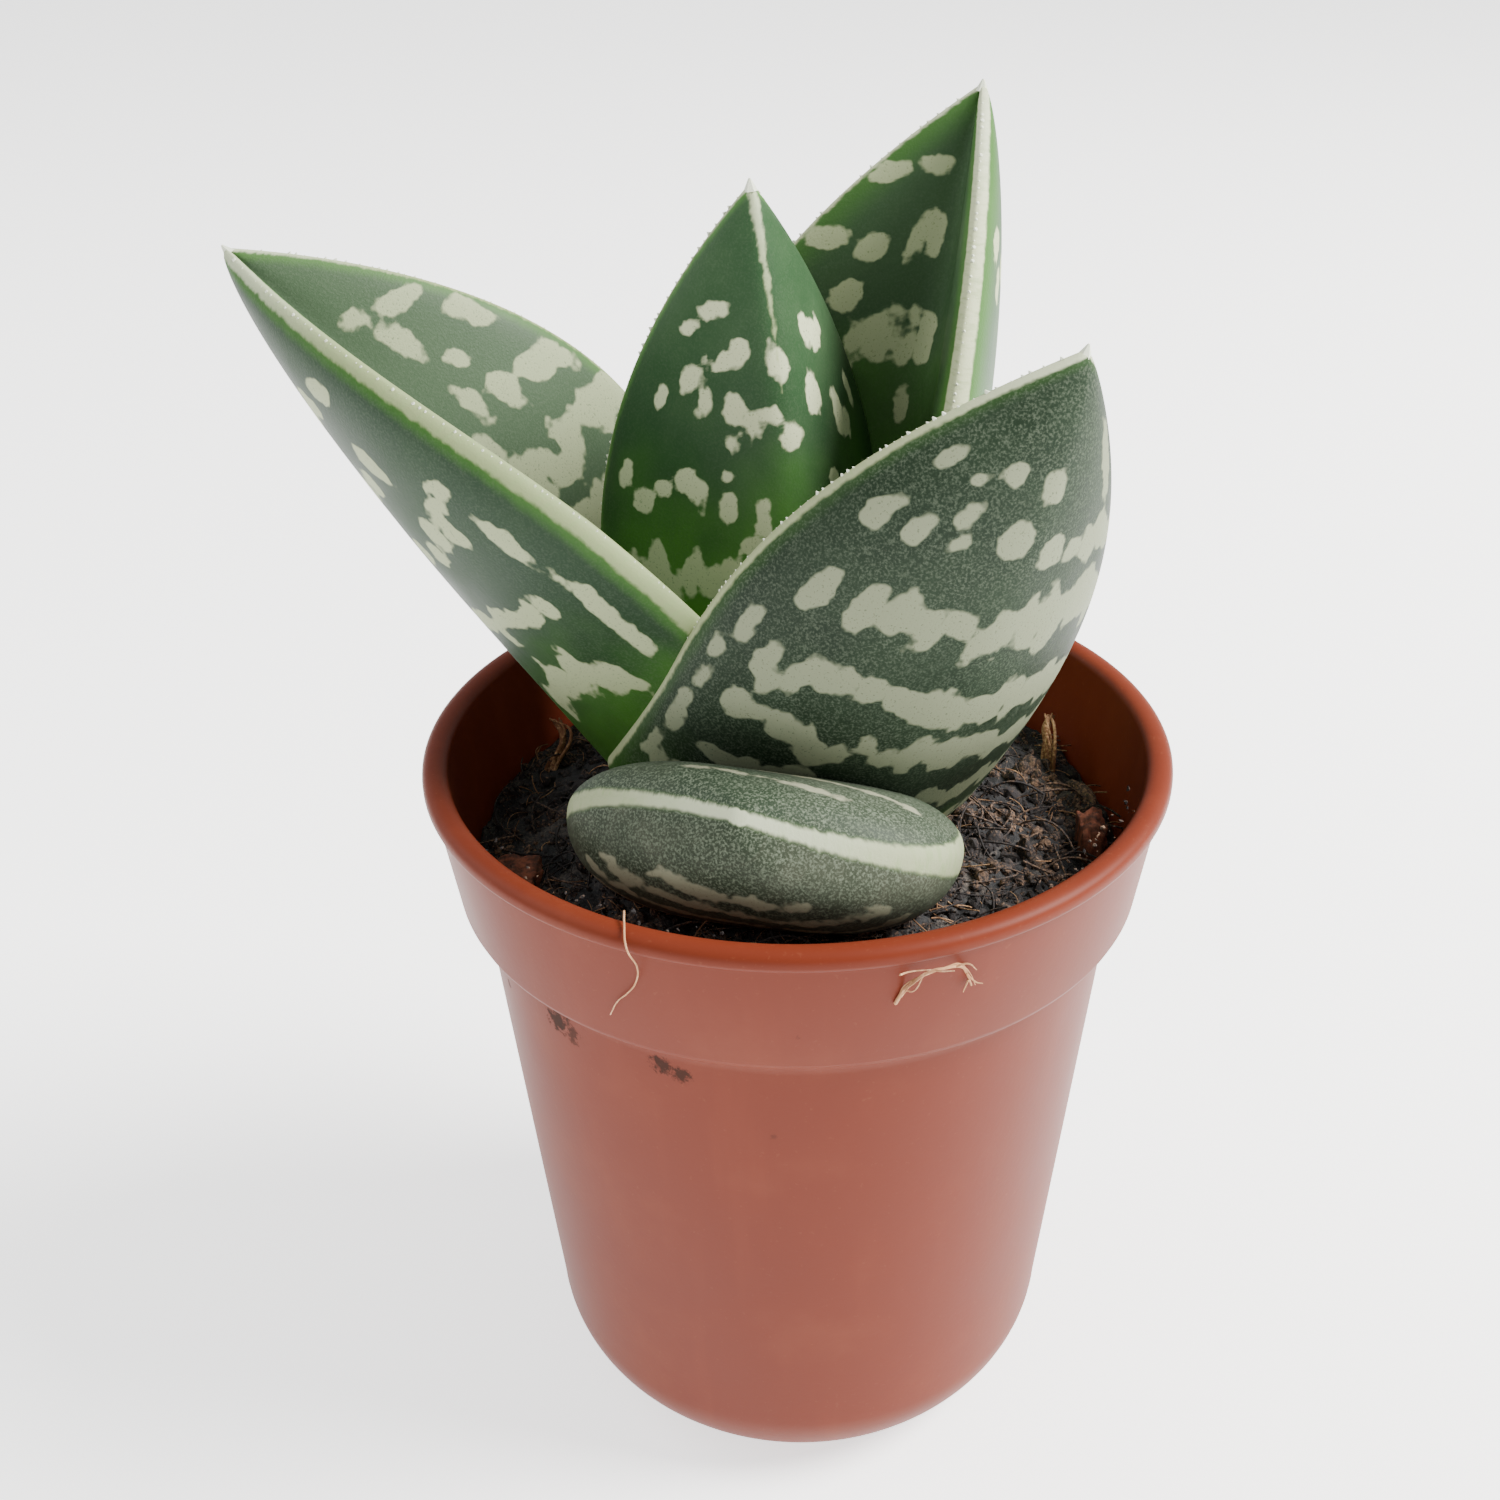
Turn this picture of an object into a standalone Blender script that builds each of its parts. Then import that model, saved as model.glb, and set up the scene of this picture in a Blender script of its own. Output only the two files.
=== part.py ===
"""A small potted tiger aloe: five fleshy leaves on a short stem, in peat, in a plastic nursery pot.

Frame: metres, +Z up. The origin is the bottom centre of the pot, which is the plane it stands on.
Lengths below are written in millimetres times MM.
"""
import math
from dataclasses import dataclass

import bmesh
import bpy
from mathutils import Vector

MM = 0.001
CLEARANCE = 0.3 * MM         # gap left between pieces that touch

# Pot, a round nursery pot with a tall collar
POT_RADIUS = 27.5 * MM       # at the bead around the rim
POT_HEIGHT = 58.3 * MM
COLLAR_HEIGHT = 10.6 * MM
COLLAR_TAPER = 1.2 * MM      # how much narrower the collar is at its foot than under the bead
BEAD = 0.6 * MM              # how far the rim's bead stands out from the collar
BEAD_DEPTH = 1.2 * MM        # from the rim down to the bead's lower corner
BEAD_UNDERCUT = 0.36 * MM    # height of the slope from there in to the collar
RIM_FLATNESS = 0.6           # height of the rim's rounding, as a share of half its width
STEP_IN = 1.75 * MM          # from the collar's foot in to the body
STEP_HEIGHT = 1.9 * MM
STEP_KNEE = (0.15, 0.45)     # where the step turns down, as shares of its width out and of its height down
BODY_TAPER = 3.3 * MM
BASE_ROUND = 7.9 * MM        # rounding between the body and the underside
WALL = 1.3 * MM
FLOOR_THICKNESS = 1.8 * MM
POT_SIDES = 56

# Underside: a foot ring, a shallow channel with the drain holes in it, and a flat centre
FOOT_RING_WIDTH = 2.6 * MM
DRAIN_CHANNEL_WIDTH = 4.8 * MM
DRAIN_CHANNEL_DEPTH = 0.8 * MM
DRAIN_HOLE_RADIUS = 1.8 * MM
DRAIN_HOLES = 6

# Soil
SOIL_DROP = 6.3 * MM         # from the rim down to the soil at the crown
SOIL_ROUGHNESS = 0.5 * MM    # height of the lumps
SOIL_LUMP = 7.5 * MM         # distance from one large lump to the next
SOIL_HOLLOW = 3.0 * MM       # how much deeper the soil lies along the left and right walls
SOIL_BANK = 1.6 * MM         # how much higher it lies at the front and the back
SOIL_RINGS = 9
SOIL_SIDES = 40

# Stem, a stump between the leaf bases
STEM_RADIUS = 4.0 * MM
STEM_LENGTH = 14.0 * MM
STEM_SIDES = 20
STEM_TOP_FLAT = 0.8          # radius of the stem's flat top, as a share of STEM_RADIUS
STEM_SHOULDER = 0.3          # drop from there to the full radius, as the same share
STEM_FOOT = (0.75, 0.4)      # radius and height of the turn at the stem's foot, as the same share
STEM_FOOT_FLAT = 0.45        # radius of the stem's flat foot, as the same share
STEM_TOP_DROP = 2.5 * MM     # how far the stem's top lies below the soil at the crown

# Leaves
LEAF_RINGS = 15
LEAF_HALF_RING = 11          # points from one margin to the other along the back
TIP_SHARE = 0.985            # share of the length at the last ring before the tip
ROOM_TIP_SHARE = 0.94        # the same, for the room that a leaf keeps clear of its neighbours
KEEL_SPREAD = 0.12           # half width of the keel, as a share of the half width of the leaf
CHANNEL_SPREAD = 0.3         # the same of the channel along the face
THINNING = 0.6               # thickness goes with width to this power
EDGE_POWER = 3               # 2 rounds a section off like an ellipse; more keeps it thick nearer the edge


@dataclass
class Leaf:
    """A keeled, channelled leaf. Base and tip are measured from the crown; angles are in degrees."""
    name: str
    base: tuple              # where the midline starts, mm
    tip: tuple               # where it ends, mm
    bow: tuple               # how far the midline bows, towards the back and sideways, mm
    faces: tuple             # azimuth and elevation that the back of the leaf turns to
    twist: float             # turn from base to tip
    half_width: float        # at the widest place, mm
    widest: float            # where that is, as a share of the length
    base_width: float        # width at the base, as a share of the widest
    tip_shape: float         # 2 is a pointed tip, 4 a blunt one
    fold: float              # how far the margins rise, as a share of the half width
    fold_round: float        # 0 is a sharp fold, 1 a round one
    back_swell: float        # thickness behind the folded sheet, mm
    face_swell: float        # thickness in front of it, mm
    channel: float           # how much of the front thickness is missing along the midline
    keel: float              # height of the keel along the back, mm


# From the outermost leaf inwards: each one wraps the foot of those after it
LEAVES = [
    Leaf("leaf_front_low", (-1.9, -3.8, 1.3), (-3.6, -20.7, 12.2), (2.2, 1.4), (-97, 7), -43,
         13.6, 0.41, 0.85, 3.7, 0.0, 0.5, 6.4, 4.2, 0.0, 0.0),
    Leaf("leaf_front_right", (0.0, -3.4, -1.6), (17.2, -12.7, 39.4), (6.6, -0.8), (-63, 6), 15,
         14.4, 0.28, 1.0, 2.9, 0.42, 0.6, 3.1, 1.5, 0.6, 0.1),
    Leaf("leaf_left", (-4.3, 1.7, -5.5), (-38.7, 6.5, 40.9), (-2.4, 2.7), (195, -72), -35,
         13.8, 0.51, 0.68, 1.7, 0.82, 0.35, 3.6, 1.7, 0.6, 0.4),
    Leaf("leaf_back_right", (3.0, 3.4, -4.0), (13.1, 14.0, 49.5), (2.5, 0.5), (40, -19), 4,
         13.4, 0.39, 0.70, 2.25, 0.88, 0.32, 3.0, 1.5, 0.6, 0.4),
    Leaf("leaf_centre", (3.1, -1.2, -3.0), (-2.7, 1.9, 45.8), (-0.5, -0.9), (-66, 0), -3,
         11.3, 0.36, 0.70, 2.25, 0.87, 0.30, 2.2, 1.3, 0.6, 0.4),
]

# Coarse bits in the peat: name, x and y from the pot's centre, size (all in mm), turn about Z in degrees
BARK_CHIPS = [
    ("bark_chip_right", (21.8, -3.6), (1.5, 4.0, 5.2), -12),
    ("bark_chip_back", (2.5, 21.0), (4.6, 2.6, 2.2), 12),
    ("bark_chip_left", (-20.5, -8.4), (3.8, 2.6, 2.0), 55),
]
CHIP_BEVEL = 0.4 * MM
CHIP_SUNK = 0.4              # share of a chip's height below the soil
CHIP_WEDGE = 0.3             # how much narrower a chip is at its top
CHIP_FLARE = 0.25            # how much longer it is at one end

# Dry rootlets that stick out of the peat: name, radius and the points they follow from the pot's centre, mm;
# heights are above the soil at the crown
ROOTLETS = [
    ("rootlet_right", 0.45, [(20.6, 7.4, -4.2), (20.5, 8.0, -1.4), (19.9, 9.4, 0.7), (20.4, 10.9, 1.4)]),
    ("rootlet_left", 0.45, [(-19.0, 5.6, -4.4), (-19.3, 7.4, -1.4), (-18.8, 9.0, 0.5), (-19.5, 10.8, 1.3)]),
]
ROOTLET_BEVEL_RESOLUTION = 1


def clear_scene():
    for item in list(bpy.data.objects):
        bpy.data.objects.remove(item, do_unlink=True)


def new_collection(name):
    collection = bpy.data.collections.new(name)
    bpy.context.scene.collection.children.link(collection)
    return collection


def material(name, colour, roughness):
    made = bpy.data.materials.new(name)
    made.use_nodes = True
    shader = made.node_tree.nodes["Principled BSDF"]
    shader.inputs["Base Color"].default_value = (*colour, 1.0)
    shader.inputs["Roughness"].default_value = roughness
    shader.inputs["Metallic"].default_value = 0.0
    return made


def add_object(name, mesh, collection, skin=None):
    item = bpy.data.objects.new(name, mesh)
    collection.objects.link(item)
    if skin is not None:
        mesh.materials.append(skin)
    return item


def hide_cutter(cutter):
    cutter.hide_render = True
    cutter.display_type = "WIRE"


def add_cut(item, cutter):
    cut = item.modifiers.new("cut_" + cutter.name, "BOOLEAN")
    cut.operation = "DIFFERENCE"
    cut.solver = "EXACT"
    cut.object = cutter


def arc(centre, radius, start, end, count):
    """Points on an arc in the profile plane; angles in degrees from +X towards +Z."""
    points = []
    for index in range(count):
        angle = math.radians(start + (end - start) * index / (count - 1))
        points.append((centre[0] + radius * math.cos(angle), centre[1] + radius * math.sin(angle)))
    return points


def turned(name, profile, sides, collection, skin=None):
    """A profile of (radius, height) points turned about the Z axis."""
    mesh = bpy.data.meshes.new(name)
    points = [(radius, 0.0, height) for radius, height in profile]
    mesh.from_pydata(points, [(index, index + 1) for index in range(len(points) - 1)], [])
    item = add_object(name, mesh, collection, skin)
    screw = item.modifiers.new("turn", "SCREW")
    screw.steps = sides
    screw.render_steps = sides
    screw.use_merge_vertices = True
    screw.merge_threshold = 0.00001
    screw.use_smooth_shade = True
    return item


def freeze(item):
    """Replace an object's mesh by its evaluated one and drop the modifiers."""
    bpy.context.view_layer.update()
    graph = bpy.context.evaluated_depsgraph_get()
    mesh = bpy.data.meshes.new_from_object(item.evaluated_get(graph))
    item.modifiers.clear()
    item.data = mesh


def triangulate(mesh):
    shape = bmesh.new()
    shape.from_mesh(mesh)
    bmesh.ops.triangulate(shape, faces=shape.faces)
    shape.to_mesh(mesh)
    shape.free()


def keep_largest_body(item):
    """Drop the crumbs that a cut leaves beside the main body."""
    freeze(item)
    shape = bmesh.new()
    shape.from_mesh(item.data)
    left = set(shape.faces)
    bodies = []
    while left:
        body = {left.pop()}
        edge_of_body = list(body)
        while edge_of_body:
            face = edge_of_body.pop()
            for edge in face.edges:
                for neighbour in edge.link_faces:
                    if neighbour in left:
                        left.remove(neighbour)
                        body.add(neighbour)
                        edge_of_body.append(neighbour)
        bodies.append(body)
    bodies.sort(key=lambda body: sum(face.calc_area() for face in body), reverse=True)
    crumbs = [face for body in bodies[1:] for face in body]
    bmesh.ops.delete(shape, geom=crumbs, context="FACES")
    shape.to_mesh(item.data)
    shape.free()


# ---- pot ----

COLLAR_FOOT_RADIUS = POT_RADIUS - BEAD - COLLAR_TAPER
COLLAR_FOOT_INSIDE = COLLAR_FOOT_RADIUS - WALL
COLLAR_BASE = POT_HEIGHT - COLLAR_HEIGHT
BODY_TOP_RADIUS = COLLAR_FOOT_RADIUS - STEP_IN
BODY_FOOT_RADIUS = BODY_TOP_RADIUS - BODY_TAPER
BODY_TOP = COLLAR_BASE - STEP_HEIGHT
FOOT_RADIUS = BODY_FOOT_RADIUS - BASE_ROUND
CHANNEL_OUTER = FOOT_RADIUS - FOOT_RING_WIDTH
CHANNEL_INNER = CHANNEL_OUTER - DRAIN_CHANNEL_WIDTH
FLOOR_TOP = DRAIN_CHANNEL_DEPTH + FLOOR_THICKNESS


def inner_wall(gap):
    """The inside of the pot from its floor up to the foot of the collar, moved in by a gap."""
    round_in = BASE_ROUND - WALL
    foot = BODY_FOOT_RADIUS - WALL - gap
    corner = arc((foot - round_in, FLOOR_TOP + gap + round_in), round_in, -90, 0, 5)
    return corner + [(BODY_TOP_RADIUS - WALL - gap, BODY_TOP), (COLLAR_FOOT_INSIDE - gap, COLLAR_BASE + gap)]


def pot_profile():
    inside = [(0.0, FLOOR_TOP)] + inner_wall(0.0)
    rim_half = (BEAD + WALL) * 0.5
    rim_centre = (POT_RADIUS - rim_half, POT_HEIGHT - rim_half * RIM_FLATNESS)
    rim_arc = arc(rim_centre, rim_half, 180, 0, 7)
    rim = [(x, rim_centre[1] + (z - rim_centre[1]) * RIM_FLATNESS) for x, z in rim_arc]
    outside = [
        (POT_RADIUS, POT_HEIGHT - BEAD_DEPTH),
        (POT_RADIUS - BEAD, POT_HEIGHT - BEAD_DEPTH - BEAD_UNDERCUT),
        (COLLAR_FOOT_RADIUS, COLLAR_BASE),
        (BODY_TOP_RADIUS + STEP_KNEE[0] * STEP_IN, COLLAR_BASE - STEP_KNEE[1] * STEP_HEIGHT),
        (BODY_TOP_RADIUS, BODY_TOP),
    ]
    outside += arc((FOOT_RADIUS, BASE_ROUND), BASE_ROUND, 0, -90, 7)
    underside = [
        (CHANNEL_OUTER, 0.0),
        (CHANNEL_OUTER - DRAIN_CHANNEL_DEPTH * 0.5, DRAIN_CHANNEL_DEPTH),
        (CHANNEL_INNER + DRAIN_CHANNEL_DEPTH * 0.5, DRAIN_CHANNEL_DEPTH),
        (CHANNEL_INNER, 0.0),
        (0.0, 0.0),
    ]
    return inside + rim + outside + underside


def build_pot(parts, cutters):
    plastic = material("terracotta_plastic", (0.42, 0.15, 0.09), 0.5)
    pot = turned("pot", pot_profile(), POT_SIDES, parts, plastic)
    hole_circle = (CHANNEL_INNER + CHANNEL_OUTER) * 0.5
    for index in range(DRAIN_HOLES):
        angle = math.tau * (index + 0.5) / DRAIN_HOLES
        bpy.ops.mesh.primitive_cylinder_add(
            vertices=16,
            radius=DRAIN_HOLE_RADIUS,
            depth=2 * FLOOR_TOP + DRAIN_HOLE_RADIUS,
            location=(hole_circle * math.cos(angle), hole_circle * math.sin(angle), FLOOR_TOP * 0.5),
        )
        hole = bpy.context.object
        hole.name = f"drain_hole_{index + 1}"
        hole.users_collection[0].objects.unlink(hole)
        cutters.objects.link(hole)
        hide_cutter(hole)
        add_cut(pot, hole)
    return pot


# ---- soil ----

CROWN = Vector((0.0, 0.0, POT_HEIGHT - SOIL_DROP))
SOIL_SURFACE_RADIUS = COLLAR_FOOT_INSIDE - CLEARANCE


def soil_height(x, y):
    """Height of the peat above the crown: banked front and back, hollow along the side walls."""
    radius = math.hypot(x, y) / SOIL_SURFACE_RADIUS
    side = abs(x) / SOIL_SURFACE_RADIUS
    bank = SOIL_BANK * radius ** 2 * (1.0 - side) ** 2
    hollow = SOIL_HOLLOW * side ** 2 * radius ** 2
    wave = math.tau / SOIL_LUMP
    lumps = math.sin(x * wave) * math.cos(y * wave) + math.sin((x + y) * 2 * wave) / 2
    return bank - hollow + SOIL_ROUGHNESS * lumps * min(1.0, 2 * radius)


def build_soil(parts):
    peat = material("peat", (0.035, 0.022, 0.016), 0.95)
    wall = inner_wall(CLEARANCE)
    profile = [(SOIL_SURFACE_RADIUS * index / SOIL_RINGS, CROWN.z) for index in range(SOIL_RINGS + 1)]
    profile += list(reversed(wall)) + [(0.0, wall[0][1])]
    soil = turned("soil", profile, SOIL_SIDES, parts, peat)
    freeze(soil)
    for vertex in soil.data.vertices:
        if vertex.co.z > CROWN.z - CLEARANCE:
            vertex.co.z = CROWN.z + soil_height(vertex.co.x, vertex.co.y)
    triangulate(soil.data)
    return soil


# ---- stem ----

def stem_mesh_object(name, grow, collection, skin=None):
    top = CROWN.z - STEM_TOP_DROP + grow
    bottom = CROWN.z - STEM_TOP_DROP - STEM_LENGTH - grow
    radius = STEM_RADIUS + grow
    profile = [(0.0, top), (radius * STEM_TOP_FLAT, top), (radius, top - STEM_RADIUS * STEM_SHOULDER)]
    profile += [(radius * STEM_FOOT[0], bottom + STEM_RADIUS * STEM_FOOT[1])]
    profile += [(radius * STEM_FOOT_FLAT, bottom), (0.0, bottom)]
    return turned(name, profile, STEM_SIDES, collection, skin)


# ---- leaves ----

def leaf_frame(leaf, share):
    """Place and directions (along, back, side) of a leaf's midline at a share of its length."""
    base = CROWN + Vector(leaf.base) * MM
    tip = CROWN + Vector(leaf.tip) * MM
    azimuth = math.radians(leaf.faces[0])
    elevation = math.radians(leaf.faces[1])
    turned_to = Vector((
        math.cos(elevation) * math.cos(azimuth),
        math.cos(elevation) * math.sin(azimuth),
        math.sin(elevation),
    ))
    chord = (tip - base).normalized()
    chord_back = (turned_to - turned_to.dot(chord) * chord).normalized()
    chord_side = chord.cross(chord_back)
    middle = (base + tip) * 0.5 + (leaf.bow[0] * chord_back + leaf.bow[1] * chord_side) * MM
    place = (1 - share) ** 2 * base + 2 * share * (1 - share) * middle + share ** 2 * tip
    along = ((1 - share) * (middle - base) + share * (tip - middle)).normalized()
    back = (turned_to - turned_to.dot(along) * along).normalized()
    side = along.cross(back)
    twist = math.radians(leaf.twist) * (share - 0.5)
    turned_back = math.cos(twist) * back + math.sin(twist) * side
    turned_side = math.cos(twist) * side - math.sin(twist) * back
    return place, turned_back, turned_side


def leaf_half_width(leaf, share):
    if share < leaf.widest:
        rise = math.sin(share / leaf.widest * math.pi / 2)
        return leaf.half_width * (leaf.base_width + (1 - leaf.base_width) * rise) * MM
    taper = (share - leaf.widest) / (1 - leaf.widest)
    return leaf.half_width * (1 - taper ** leaf.tip_shape) * MM


def leaf_ring(leaf, share, grow):
    """Points round one section: along the back from margin to margin, then along the face."""
    place, back, side = leaf_frame(leaf, share)
    width = leaf_half_width(leaf, share)
    slim = min(1.0, (width / (leaf.half_width * MM)) ** THINNING)
    soft = leaf.fold_round
    reach = math.sqrt(1 + soft * soft) - soft
    points = []
    count = 2 * LEAF_HALF_RING
    for index in range(count):
        angle = math.tau * index / count
        across = -math.cos(angle)
        bend = math.sqrt(across * across + soft * soft)
        lift = leaf.fold * (bend - soft) / reach
        slope = leaf.fold * across / (bend * reach)
        outwards = Vector((1.0, slope)).normalized() * across * grow
        normal = Vector((-slope, 1.0)).normalized()
        round_off = math.sqrt(max(0.0, 1 - abs(across) ** EDGE_POWER))
        if index <= LEAF_HALF_RING:
            keel = leaf.keel * math.exp(-(across / KEEL_SPREAD) ** 2)
            offset = -(leaf.back_swell * round_off + keel) * slim * MM - grow * round_off
        else:
            channel = 1 - leaf.channel * math.exp(-(across / CHANNEL_SPREAD) ** 2)
            offset = leaf.face_swell * round_off * channel * slim * MM + grow * round_off
        sideways = across * width + outwards.x + normal.x * offset
        towards_face = lift * width + outwards.y + normal.y * offset
        points.append(place + sideways * side - towards_face * back)
    return points


def leaf_mesh(name, leaf, grow=0.0):
    """A loft of sections, with a crescent-shaped cap at the base and a fan at the tip."""
    shape = bmesh.new()
    shares = [TIP_SHARE * math.sin(index / (LEAF_RINGS - 1) * math.pi / 2) for index in range(LEAF_RINGS)]
    if grow:
        shares = [share for share in shares if share < ROOM_TIP_SHARE]
    rings = [[shape.verts.new(point) for point in leaf_ring(leaf, share, grow)] for share in shares]
    back, side = leaf_frame(leaf, 0.0)[1:]
    for vert in rings[0]:
        vert.co -= grow * back.cross(side)
    count = len(rings[0])
    for lower, upper in zip(rings, rings[1:]):
        for index in range(count):
            following = (index + 1) % count
            shape.faces.new((lower[index], lower[following], upper[following], upper[index]))
    cap = rings[0]
    for index in range(LEAF_HALF_RING):
        corners = [cap[index + 1], cap[index], cap[(count - index) % count], cap[count - index - 1]]
        shape.faces.new(dict.fromkeys(corners))
    tip = shape.verts.new(leaf_frame(leaf, 1.0)[0])
    for index in range(count):
        shape.faces.new((rings[-1][index], rings[-1][(index + 1) % count], tip))
    bmesh.ops.triangulate(shape, faces=shape.faces)
    bmesh.ops.recalc_face_normals(shape, faces=shape.faces)
    mesh = bpy.data.meshes.new(name)
    shape.to_mesh(mesh)
    shape.free()
    mesh.shade_smooth()
    return mesh


def build_leaves(parts, cutters, stem_room):
    flesh = material("leaf_green", (0.06, 0.12, 0.06), 0.45)
    leaves = []
    rooms = []
    for leaf in LEAVES:
        item = add_object(leaf.name, leaf_mesh(leaf.name, leaf), parts, flesh)
        add_cut(item, stem_room)
        for room in rooms:
            add_cut(item, room)
        room = add_object(leaf.name + "_room", leaf_mesh(leaf.name + "_room", leaf, CLEARANCE), cutters)
        hide_cutter(room)
        rooms.append(room)
        leaves.append(item)
    for item in leaves:
        keep_largest_body(item)
    return leaves, rooms


# ---- bits in the peat ----

def chip_object(name, place, size, turn, grow, collection, skin=None):
    shape = bmesh.new()
    bmesh.ops.create_cube(shape, size=1.0)
    mesh = bpy.data.meshes.new(name)
    height = CROWN.z + soil_height(place[0] * MM, place[1] * MM)
    centre = Vector((place[0] * MM, place[1] * MM, height + (0.5 - CHIP_SUNK) * size[2] * MM))
    angle = math.radians(turn)
    for vert in shape.verts:
        x = vert.co.x * (size[0] * MM + 2 * grow) * (1.0 - CHIP_WEDGE * vert.co.z)
        y = vert.co.y * (size[1] * MM + 2 * grow) * (1.0 + CHIP_FLARE * vert.co.x)
        z = vert.co.z * (size[2] * MM + 2 * grow)
        vert.co = centre + Vector((
            x * math.cos(angle) - y * math.sin(angle),
            x * math.sin(angle) + y * math.cos(angle),
            z,
        ))
    shape.to_mesh(mesh)
    shape.free()
    item = add_object(name, mesh, collection, skin)
    bevel = item.modifiers.new("worn_edges", "BEVEL")
    bevel.width = CHIP_BEVEL
    bevel.segments = 1
    return item


def rootlet_object(name, radius, points, grow, collection, skin=None):
    curve = bpy.data.curves.new(name, "CURVE")
    curve.dimensions = "3D"
    curve.resolution_u = 3
    curve.bevel_depth = radius * MM + grow
    curve.bevel_resolution = ROOTLET_BEVEL_RESOLUTION
    curve.use_fill_caps = True
    spline = curve.splines.new("BEZIER")
    spline.bezier_points.add(len(points) - 1)
    for knot, point in zip(spline.bezier_points, points):
        knot.co = Vector(point) * MM + CROWN
        knot.handle_left_type = "AUTO"
        knot.handle_right_type = "AUTO"
    guide = bpy.data.objects.new(name + "_path", curve)
    collection.objects.link(guide)
    bpy.context.view_layer.update()
    graph = bpy.context.evaluated_depsgraph_get()
    mesh = bpy.data.meshes.new_from_object(guide.evaluated_get(graph))
    shape = bmesh.new()
    shape.from_mesh(mesh)
    bmesh.ops.remove_doubles(shape, verts=shape.verts, dist=0.00001)
    bmesh.ops.recalc_face_normals(shape, faces=shape.faces)
    shape.to_mesh(mesh)
    shape.free()
    mesh.materials.clear()
    item = add_object(name, mesh, collection, skin)
    item.matrix_world = guide.matrix_world
    bpy.data.objects.remove(guide, do_unlink=True)
    return item


def build_bits(parts, cutters):
    bark = material("bark", (0.16, 0.07, 0.045), 0.9)
    fibre = material("dry_root", (0.42, 0.27, 0.14), 0.85)
    rooms = []
    for name, place, size, turn in BARK_CHIPS:
        chip_object(name, place, size, turn, 0.0, parts, bark)
        rooms.append(chip_object(name + "_room", place, size, turn, CLEARANCE, cutters))
    for name, radius, points in ROOTLETS:
        rootlet_object(name, radius, points, 0.0, parts, fibre)
        rooms.append(rootlet_object(name + "_room", radius, points, CLEARANCE, cutters))
    for room in rooms:
        hide_cutter(room)
    return rooms


def build():
    clear_scene()
    parts = new_collection("potted_aloe")
    cutters = new_collection("cutters")
    build_pot(parts, cutters)
    soil = build_soil(parts)
    stem_mesh_object("stem", 0.0, parts, material("stem_flesh", (0.30, 0.33, 0.16), 0.6))
    stem_room = stem_mesh_object("stem_room", CLEARANCE, cutters)
    hide_cutter(stem_room)
    leaf_rooms = build_leaves(parts, cutters, stem_room)[1]
    for room in [stem_room] + leaf_rooms + build_bits(parts, cutters):
        add_cut(soil, room)


build()
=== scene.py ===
import math
import random
from dataclasses import dataclass

import bmesh
import bpy
import numpy as np
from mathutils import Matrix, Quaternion, Vector, noise


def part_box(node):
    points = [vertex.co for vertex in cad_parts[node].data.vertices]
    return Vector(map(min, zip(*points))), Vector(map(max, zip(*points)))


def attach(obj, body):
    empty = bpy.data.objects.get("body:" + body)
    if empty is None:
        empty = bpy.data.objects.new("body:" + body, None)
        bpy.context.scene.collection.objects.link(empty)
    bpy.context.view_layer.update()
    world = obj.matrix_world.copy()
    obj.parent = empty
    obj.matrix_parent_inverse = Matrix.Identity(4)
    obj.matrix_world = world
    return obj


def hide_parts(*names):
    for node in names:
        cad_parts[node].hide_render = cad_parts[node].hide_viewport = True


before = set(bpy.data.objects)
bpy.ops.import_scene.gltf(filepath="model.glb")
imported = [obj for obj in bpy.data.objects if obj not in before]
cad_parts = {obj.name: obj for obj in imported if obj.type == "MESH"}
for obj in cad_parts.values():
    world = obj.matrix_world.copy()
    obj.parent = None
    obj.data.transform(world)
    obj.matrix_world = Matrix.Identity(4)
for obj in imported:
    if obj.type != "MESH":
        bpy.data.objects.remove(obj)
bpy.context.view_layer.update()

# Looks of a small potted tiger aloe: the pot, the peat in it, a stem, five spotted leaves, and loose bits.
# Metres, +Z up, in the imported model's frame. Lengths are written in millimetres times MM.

MM = 0.001

# ---- The table and the light --------------------------------------------------------------
# A white light table, lit softly from within, with one large soft lamp high on the right, a weaker one
# on the left, and an even white surround.

FLOOR_COLOUR = (0.93, 0.925, 0.915)
FLOOR_SIZE = 3.0


def node(tree, kind, inputs=None, **settings):
    """A new shader or geometry node, its settings, and its inputs by name or number: values or sockets."""
    made = tree.nodes.new(kind)
    for key, value in settings.items():
        setattr(made, key, value)
    for key, value in (inputs or {}).items():
        if isinstance(value, bpy.types.NodeSocket):
            tree.links.new(value, made.inputs[key])
        else:
            made.inputs[key].default_value = value
    return made


def new_material(name, roughness, **sockets):
    """A material with one Principled shader. Even values go on its own sockets."""
    made = bpy.data.materials.new(name)
    made.use_nodes = True
    shader = made.node_tree.nodes["Principled BSDF"]
    shader.inputs["Roughness"].default_value = roughness
    for key, value in sockets.items():
        shader.inputs[key.replace("_", " ")].default_value = value
    return made, made.node_tree, shader


def add_object(name, mesh, *materials):
    item = bpy.data.objects.new(name, mesh)
    bpy.context.scene.collection.objects.link(item)
    for skin in materials:
        mesh.materials.append(skin)
    return item


floor_skin, _, floor_shader = new_material(
    "table_paper", 0.9, Emission_Color=(1.0, 1.0, 1.0, 1.0), Emission_Strength=1.5)
floor_shader.inputs["Base Color"].default_value = (*FLOOR_COLOUR, 1.0)
floor_mesh = bpy.data.meshes.new("table")
half = FLOOR_SIZE / 2
corners = [(-half, -half, 0), (half, -half, 0), (half, half, 0), (-half, half, 0)]
floor_mesh.from_pydata(corners, [], [(0, 1, 2, 3)])
add_object("table", floor_mesh, floor_skin)

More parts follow.
